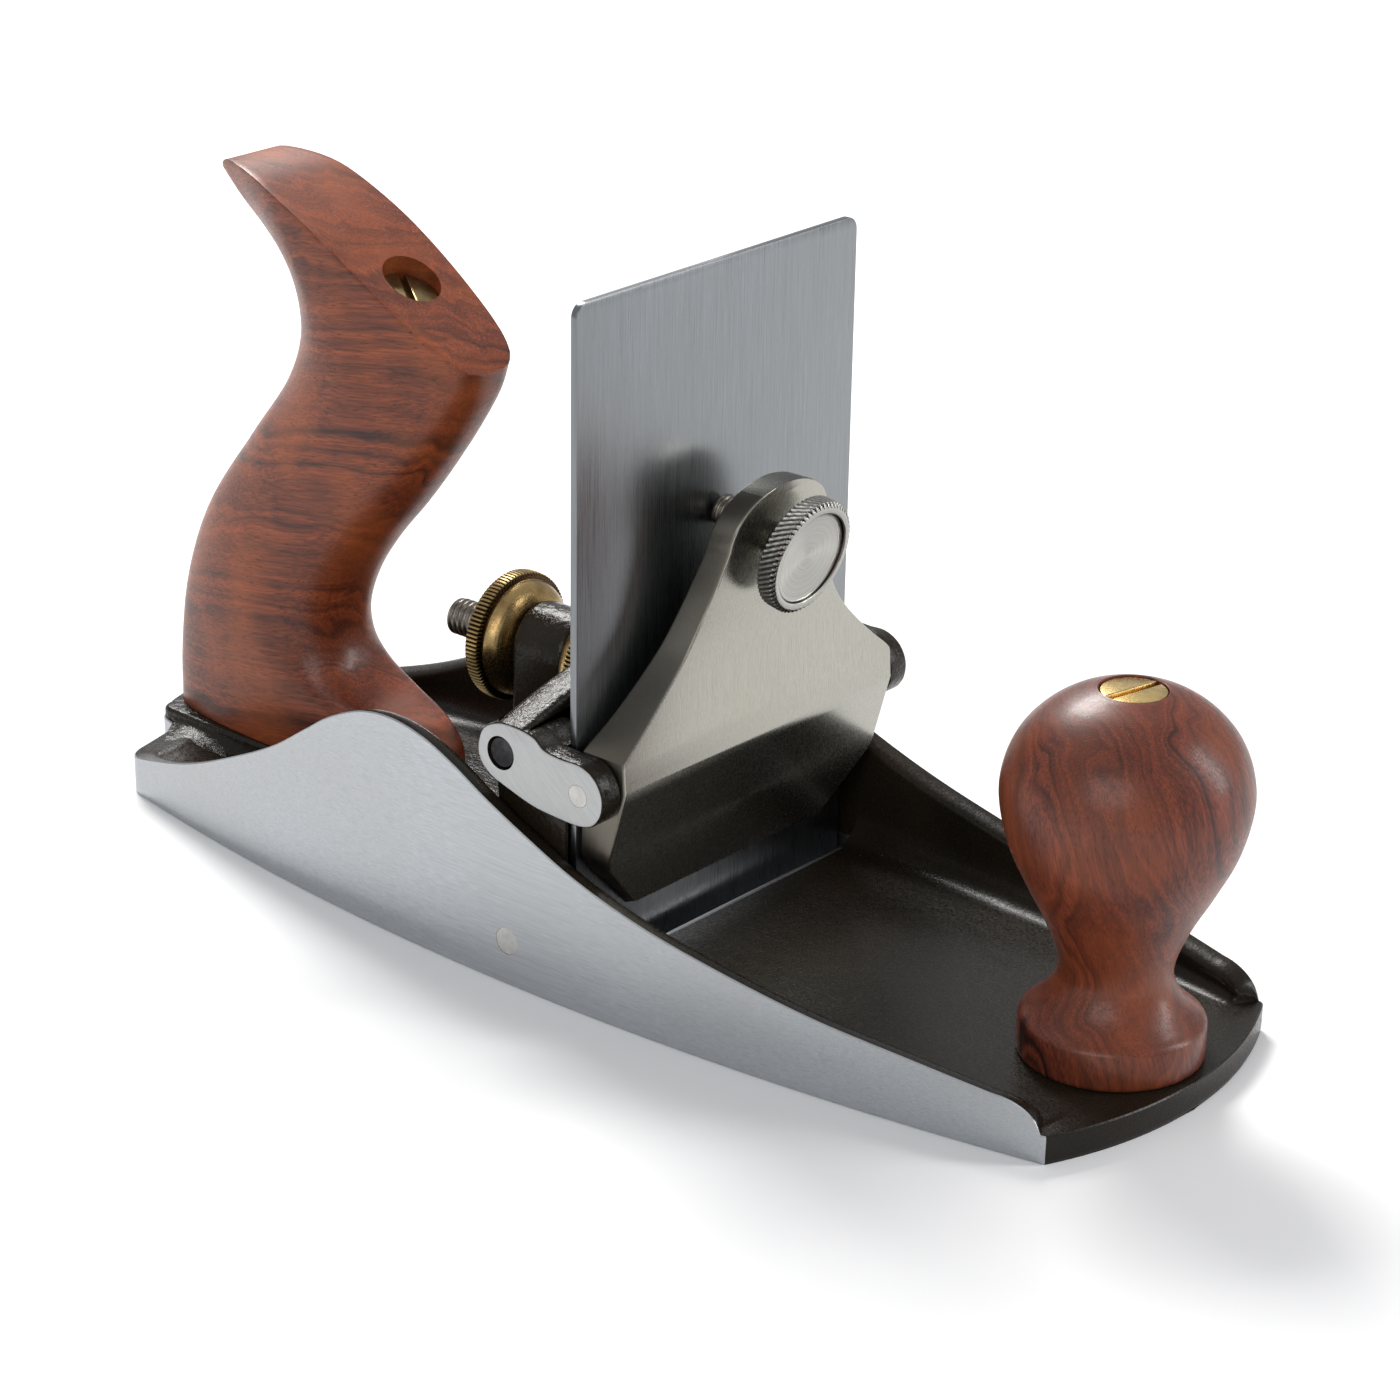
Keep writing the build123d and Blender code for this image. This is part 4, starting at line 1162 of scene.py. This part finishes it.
rim_heights = np.linspace(-3.3, -0.65, 9)
wheel_rows = [(-4.0, 0.0, 0), (-4.0, 8.9, 0), (-3.85, 9.6, 0.2), (-3.6, 10.15, 1)]
wheel_rows += [(height, 10.4, 1) for height in rim_heights]
wheel_rows += [
    (-0.35, 10.2, 1), (-0.2, 9.85, 0.2), (0.0, 9.55, 0), (0.0, 9.2, 0), (0.0, 8.7, 0),
    (-0.18, 8.45, 0), (-0.55, 8.2, 0), (-0.75, 7.6, 0), (-0.9, 6.0, 0), (-1.05, 4.0, 0),
    (-1.15, 2.0, 0), (-1.2, 0.6, 0), (-1.2, 0.0, 0),
]
wheel = build(
    "clamp_wheel_knurled",
    [turned(wheel_rows, wheel_face, clamp_axis, 480, 0, knurl(60, 0.55, 0.07))],
    [turned_face, knurl_steel], crease=38,
)
paint_faces(wheel, 1, lambda c, n: np.abs(n @ clamp_axis) < 0.75)
wrap_uv(wheel, wheel_face, clamp_axis)
fit(wheel, "clamp_wheel", "cap_steel", "clamp_wheel")

# %% [markdown]
# ## Angle adjuster
#
# A threaded rod is pinned to the frog's cross rod and runs back through the post. Two brass nuts
# pinch the post from both sides. Each has a domed shoulder and a straight-knurled rim.


# %% Rod and nuts
def adjuster_rod_skins():
    rod_length = cross_x - 4.6 - rod_back
    rod = threaded_rod((rod_back, 0, adjuster_z), (1, 0, 0), rod_length, 3.48, 1.27, 0.42)
    eye_low = arc((cross_x, adjuster_z - 1.7), 5.6, 180, 360, 24)
    eye_high = arc((cross_x, adjuster_z), 5.6, 0, 180, 24)
    eye = slab(np.concatenate([eye_low, eye_high]), edged(-4.5, 4.5, 0.5, 3), along_y)
    return [rod] + eye


rod = build("adjuster_rod_thread", adjuster_rod_skins(), [thread_steel], crease=60)
eye_slot = np.concatenate([
    arc((cross_x, adjuster_z - 1.7), 3.25, 180, 360, 20), arc((cross_x, adjuster_z), 3.25, 0, 180, 20)])
cut(rod, [build("eye_slot", slab(eye_slot, [(0, -8), (0, 8)], along_y), [thread_steel])], crease=60)
fit(rod, "adjuster_rod", "pin_steel", "adjuster_rod")


def nut_skins(seat_x, direction):
    """The nut's closed profile, from the seat outwards: a domed shoulder, a neck, the knurled
    rim, a flat back with a shallow turned groove, and the bore."""
    a = np.radians(np.linspace(8, 82, 9))
    dome = np.stack([0.1 + 4.2 * (1 - np.cos(a)), 6.2 + 4.7 * np.sin(a)], 1)
    rows = [(0.02, 3.56, 0), (0.02, 6.6, 0)] + [(h, r, 0) for h, r in dome]
    rows += [
        (3.8, 10.6, 0), (4.0, 10.9, 0), (4.1, 11.6, 0.3), (4.35, 12.1, 1), (4.9, 12.2, 1), (5.6, 12.2, 1),
        (6.4, 12.2, 1), (7.0, 12.1, 1), (7.35, 11.7, 0.3), (7.48, 11.2, 0), (7.48, 9.6, 0), (7.3, 9.3, 0),
        (7.3, 6.4, 0), (7.48, 6.1, 0), (7.48, 3.9, 0), (7.3, 3.56, 0),
    ]
    around = 576
    points, _, _ = turned(rows, (seat_x, 0, adjuster_z), (direction, 0, 0), around, 0, knurl(96, 0.42))
    return [skin(points.reshape(len(rows), around, 3), wrap_rows=True, wrap_columns=True)]


for name, seat, direction, body in (
    ("adjuster_nut_rear", post_back - 0.05, -1, "rear_nut"),
    ("adjuster_nut_front", post_front + 0.05, 1, "front_nut"),
):
    nut = build(name + "_knurled", nut_skins(seat, direction), [nut_brass, knurl_brass], crease=38)
    paint_faces(nut, 1, lambda c, n: np.hypot(c[:, 1], c[:, 2] - adjuster_z) > 10.8)
    fit(nut, body, "aged_brass", name)

# %% [markdown]
# ## Knob and handle
#
# The knob is turned on a lathe, so it is a lathe here too: a plain band at the foot, a narrow
# waist and a full round top with a counterbore for its screw. The handle is shaped by hand. Its
# sections run from the back edge to the front edge, and the last one is the sloping flat on top,
# so a loft from the foot to that flat gives the whole grip.

# %% Knob
knob_rows = np.concatenate([
    [(5.3, 0.0), (5.3, 15.3), (5.6, 15.7), (6.2, 15.85)],
    [(9.0, 15.85), (11.6, 15.8), (12.2, 15.55)],
    smooth_through([
        (12.6, 15.1), (13.6, 13.9), (15.6, 11.9), (18.2, 10.3), (20.8, 9.65), (24.5, 10.3),
        (30.0, 12.5), (36.5, 15.9), (43.5, 19.1), (51.0, 20.75), (56.5, 20.3), (61.5, 18.3),
        (65.5, 15.0), (68.3, 11.2), (70.0, 7.4), (70.5, 5.9),
    ], 7),
    [(70.35, 5.7), (67.25, 5.68), (67.25, 0.0)],
])
knob_skin = turned(knob_rows, (knob_x, 0, 0), (0, 0, 1), 128)
knob = build("front_knob_turned", [knob_skin], [knob_wood], crease=45)
fit(knob, "chassis", "oiled_wood", "front_knob")


# %% Handle
def handle_rows(count=110, around=96):
    """Loft rows. Row u joins the back edge B(u) to the front edge F(u). At angle t its point is
    at share c = (1 - cos t) / 2 along the chord and at y = T * sin(t)^q, with T the half
    thickness. Towards the top the chord bends into the curve of the sloping flat."""
    samples = 400
    back = even(smooth_through(at_blade([
        (-133.3, 9.5), (-133.3, 21.0), (-130.9, 36.5), (-124.0, 53.0), (-111.8, 69.5), (-101.0, 82.5),
        (-96.6, 91.0), (-96.4, 97.5), (-99.0, 103.7), (-104.5, 109.0), (-110.6, 113.5),
        (-114.6, 117.2)])), samples)
    front = even(smooth_through(at_blade([
        (-64.2, 9.5), (-64.9, 14.6), (-68.6, 18.2), (-75.0, 20.3), (-82.0, 22.6), (-87.4, 26.5),
        (-89.7, 31.8), (-89.3, 37.5), (-86.0, 45.0), (-80.0, 53.5), (-73.0, 61.5), (-66.0, 70.3),
        (-60.0, 78.6), (-55.0, 86.8), (-53.0, 92.6)])), samples)
    flat = even(smooth_through(at_blade([
        (-114.6, 117.2), (-115.7, 119.1), (-115.0, 120.9), (-111.5, 121.8), (-103.4, 120.8), (-96.0, 118.2),
        (-86.5, 113.8), (-78.0, 109.0), (-66.0, 101.5), (-57.0, 95.8), (-53.0, 92.6)])), samples)
    u = np.linspace(0, 1, count)
    pick = np.linspace(0, samples - 1, count).astype(int)
    b, f = back[pick][:, None], front[pick][:, None]
    t = np.arange(around) / around * 2 * math.pi
    c = (0.5 - 0.5 * np.cos(t))[None, :, None]
    on_flat = flat[np.round(c[0, :, 0] * (samples - 1)).astype(int)][None]
    bend = on_flat - ((1 - c) * back[-1] + c * front[-1])
    weight = (np.clip((u - 0.5) / 0.5, 0, 1) ** 2.2)[:, None, None]
    side = (1 - c) * b + c * f + weight * bend
    toe = np.clip(1 - u / 0.3, 0, 1) ** 1.5
    thick = np.interp(u, [0, 0.12, 0.3, 0.55, 0.8, 1.0], [12.0, 12.0, 11.8, 11.6, 11.6, 11.2])
    power = np.interp(u, [0, 0.2, 0.5, 0.8, 1.0], [0.5, 0.64, 0.8, 0.7, 0.5])
    slim = np.interp(u, [0, 0.7, 1.0], [0.0, 0.04, 0.22])[:, None]
    slim_back = 1 - slim * (1 - smooth_step(c[..., 0] / 0.3))
    slim_toe = 1 - 0.22 * toe[:, None] * np.clip((c[..., 0] - 0.6) / 0.4, 0, 1)
    narrow = slim_back * slim_toe
    y = np.sign(np.sin(t)) * thick[:, None] * np.abs(np.sin(t)) ** power[:, None] * narrow
    return np.stack([side[..., 0], y, side[..., 1]], -1)


rows = handle_rows()
half = rows.shape[1] // 2 + 1
ladder = np.linspace(-1, 1, 13)[:, None, None] * (0, 1, 0) + (1, 0, 1)
top_flat = rows[-1][:half][None] * ladder
grip_skins = [skin(rows, wrap_columns=True), lid(rows[0]), skin(top_flat)]
handle = build("rear_handle_shaped", grip_skins, [handle_wood], crease=40, sew=0.02)
soften = handle.modifiers.new("soften", "BEVEL")
soften.width, soften.segments = 0.5 * MM, 3
soften.limit_method, soften.angle_limit = "ANGLE", math.radians(38)
apply_modifiers(handle)
pocket_floor = handle_screw_at - handle_rod * 5.0
cut(handle, [rod_piece("screw_pocket", pocket_floor, handle_rod, 30, 5.66, handle_wood)], crease=40)
fit(handle, "chassis", "oiled_wood", "rear_handle")


# %% [markdown]
# ## Slotted screws
#
# Two round brass screws clamp the wood to the studs. A slot is a gap between two half discs that
# stand on a thinner whole disc.


# %% Slotted screws
def screw_skins(top, axis, slot_turn, radius=5.5, slot_half=0.62, slot_depth=1.3, head=3.0):
    """Two disc segments over a disc and a shank: a segment is an arc closed by its chord at
    slot_half from the middle."""
    axis = np.asarray(axis, float)
    u = np.cross((0.0, 1.0, 0.0), axis)
    v = np.cross(axis, u)
    turn = math.radians(slot_turn)
    u, v = math.cos(turn) * u + math.sin(turn) * v, math.cos(turn) * v - math.sin(turn) * u

    def place(flat, height):
        return top + flat[:, :1] * u + flat[:, 1:] * v + height * axis

    edge = math.degrees(math.asin(slot_half / radius))
    segment = arc((0, 0), radius, edge, 180 - edge, 40)
    disc = arc((0, 0), radius, 0, 360, 61)[:-1]
    shank = arc((0, 0), 3.6, 0, 360, 41)[:-1]
    rows = [(0, -slot_depth - 0.05), (0, -0.25), (-0.08, -0.08), (-0.25, 0.0)]
    skins = slab(segment, rows, place) + slab(segment * (1, -1), rows, place)
    skins += slab(disc, [(0, -head), (0, -slot_depth)], place)
    return skins + slab(shank, [(0, -head - 13.9), (0, -head)], place)


knob_screw = build(
    "knob_screw_slotted", screw_skins(np.array([knob_x, 0, 70.3]), (0, 0, 1), 77), [screw_brass], crease=30)
fit(knob_screw, "chassis", "aged_brass", "knob_screw")
handle_screw_top = handle_screw_at - handle_rod * 2.0
handle_screw = build(
    "handle_screw_slotted", screw_skins(handle_screw_top, handle_rod, 150), [dull_brass], crease=30)
fit(handle_screw, "chassis", "aged_brass", "handle_screw")

# %% [markdown]
# ## Pieces kept from the CAD model
#
# The pins, the cross rod and the studs are plain turned rods, and the CAD solids already have
# that shape, so they stay and only get their finish.

# %% Finishes on the kept CAD pieces
kept = {
    "frog_pivot_pin_left": pin_steel, "frog_pivot_pin_right": pin_steel, "lever_cap_pin_left": pin_steel,
    "lever_cap_pin_right": pin_steel, "adjuster_cross_rod": blued_steel, "knob_stud": pin_steel,
    "handle_stud": pin_steel,
}
for node, finish in kept.items():
    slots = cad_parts[node].data.materials
    slots.clear()
    slots.append(finish)
print("kept from the CAD model:", sorted(kept))

# %% [markdown]
# ## Floor, light and camera
#
# The floor is plain and pale. Three soft lamps do what a small studio does: a large one high on
# the left behind the object throws the shadow forward to the right, one in front fills the
# shadows, and a strip on the right draws the edge of the knob. The camera stands well back with
# a long lens, so the lines stay nearly parallel.


# %% Floor and light
def floor_finish():
    f = Finish("studio_floor", Specular_IOR_Level=0.2)
    paper = f.noise(f.stretched((40, 40, 40)), 1.0, 3.0)
    f.set(Base_Color=f.ramp(paper, (0.3, (0.86, 0.86, 0.865)), (0.7, (0.88, 0.88, 0.885))), Roughness=0.75)
    f.bump((paper, 0.02))
    return f.material


floor_reach, floor_gap = 5000, 0.02
floor_corners = np.array([[(x, y, -floor_gap) for y in (-floor_reach, floor_reach)]
                          for x in (-floor_reach, floor_reach)])
floor = build("studio_floor", [skin(floor_corners)], [floor_finish()])
if floor.data.polygons[0].normal.z < 0:
    floor.data.flip_normals()

world = bpy.data.worlds.new("studio")
bpy.context.scene.world = world
world.use_nodes = True
world.node_tree.nodes["Background"].inputs["Color"].default_value = (0.97, 0.98, 1.0, 1)
world.node_tree.nodes["Background"].inputs["Strength"].default_value = 0.5


def lamp(name, place, aim, size, watts, colour=(1, 1, 1)):
    """A soft rectangular lamp at place, turned to aim, sizes in metres."""
    light = bpy.data.lights.new(name, "AREA")
    light.shape, light.size, light.size_y = "RECTANGLE", size[0], size[1]
    light.energy, light.color = watts, colour
    stand = bpy.data.objects.new(name, light)
    stand.location = place
    stand.rotation_euler = (Vector(aim) - Vector(place)).to_track_quat("-Z", "Y").to_euler()
    bpy.context.scene.collection.objects.link(stand)
    return stand


lamp("key_left_back", (-0.95, 0.55, 1.15), (0, 0, 0.04), (0.6, 0.6), 27, (1.0, 0.985, 0.96))
lamp("fill_front", (0.5, -1.5, 0.9), (0, 0, 0.05), (1.2, 0.9), 9, (0.96, 0.98, 1.0))
lamp("strip_right_back", (1.0, 0.75, 0.6), (0.05, 0, 0.06), (0.25, 0.9), 8)
bpy.context.scene.view_settings.view_transform = "Standard"


# %% Camera
def turn_matrix(azimuth, elevation, roll):
    """Camera axes: right, up and back, for a view that looks along +Y at azimuth 0 and turns
    towards -X, raised by the elevation and rolled about its own line of sight."""
    a, e, r = np.radians([azimuth, elevation, roll])
    right = np.array([math.cos(a), math.sin(a), 0.0])
    ahead = np.array([-math.sin(a) * math.cos(e), math.cos(a) * math.cos(e), -math.sin(e)])
    up = np.cross(right, ahead)
    right, up = math.cos(r) * right + math.sin(r) * up, math.cos(r) * up - math.sin(r) * right
    return np.stack([right, up, -ahead], 1)


lens = bpy.data.cameras.new("camera")
lens.sensor_fit, lens.sensor_width, lens.lens = "HORIZONTAL", 36.0, 100.59
lens.shift_x, lens.shift_y = 0.0210, 0.1221
lens.clip_start, lens.clip_end = 0.01, 50
camera = bpy.data.objects.new("camera", lens)
camera_place = Matrix.Translation((0.4229, -0.4895, 0.3098))
camera_turn = Matrix(turn_matrix(azimuth=40.40, elevation=25.18, roll=0.75).tolist())
camera.matrix_world = camera_place @ camera_turn.to_4x4()
bpy.context.scene.collection.objects.link(camera)
bpy.context.scene.camera = camera
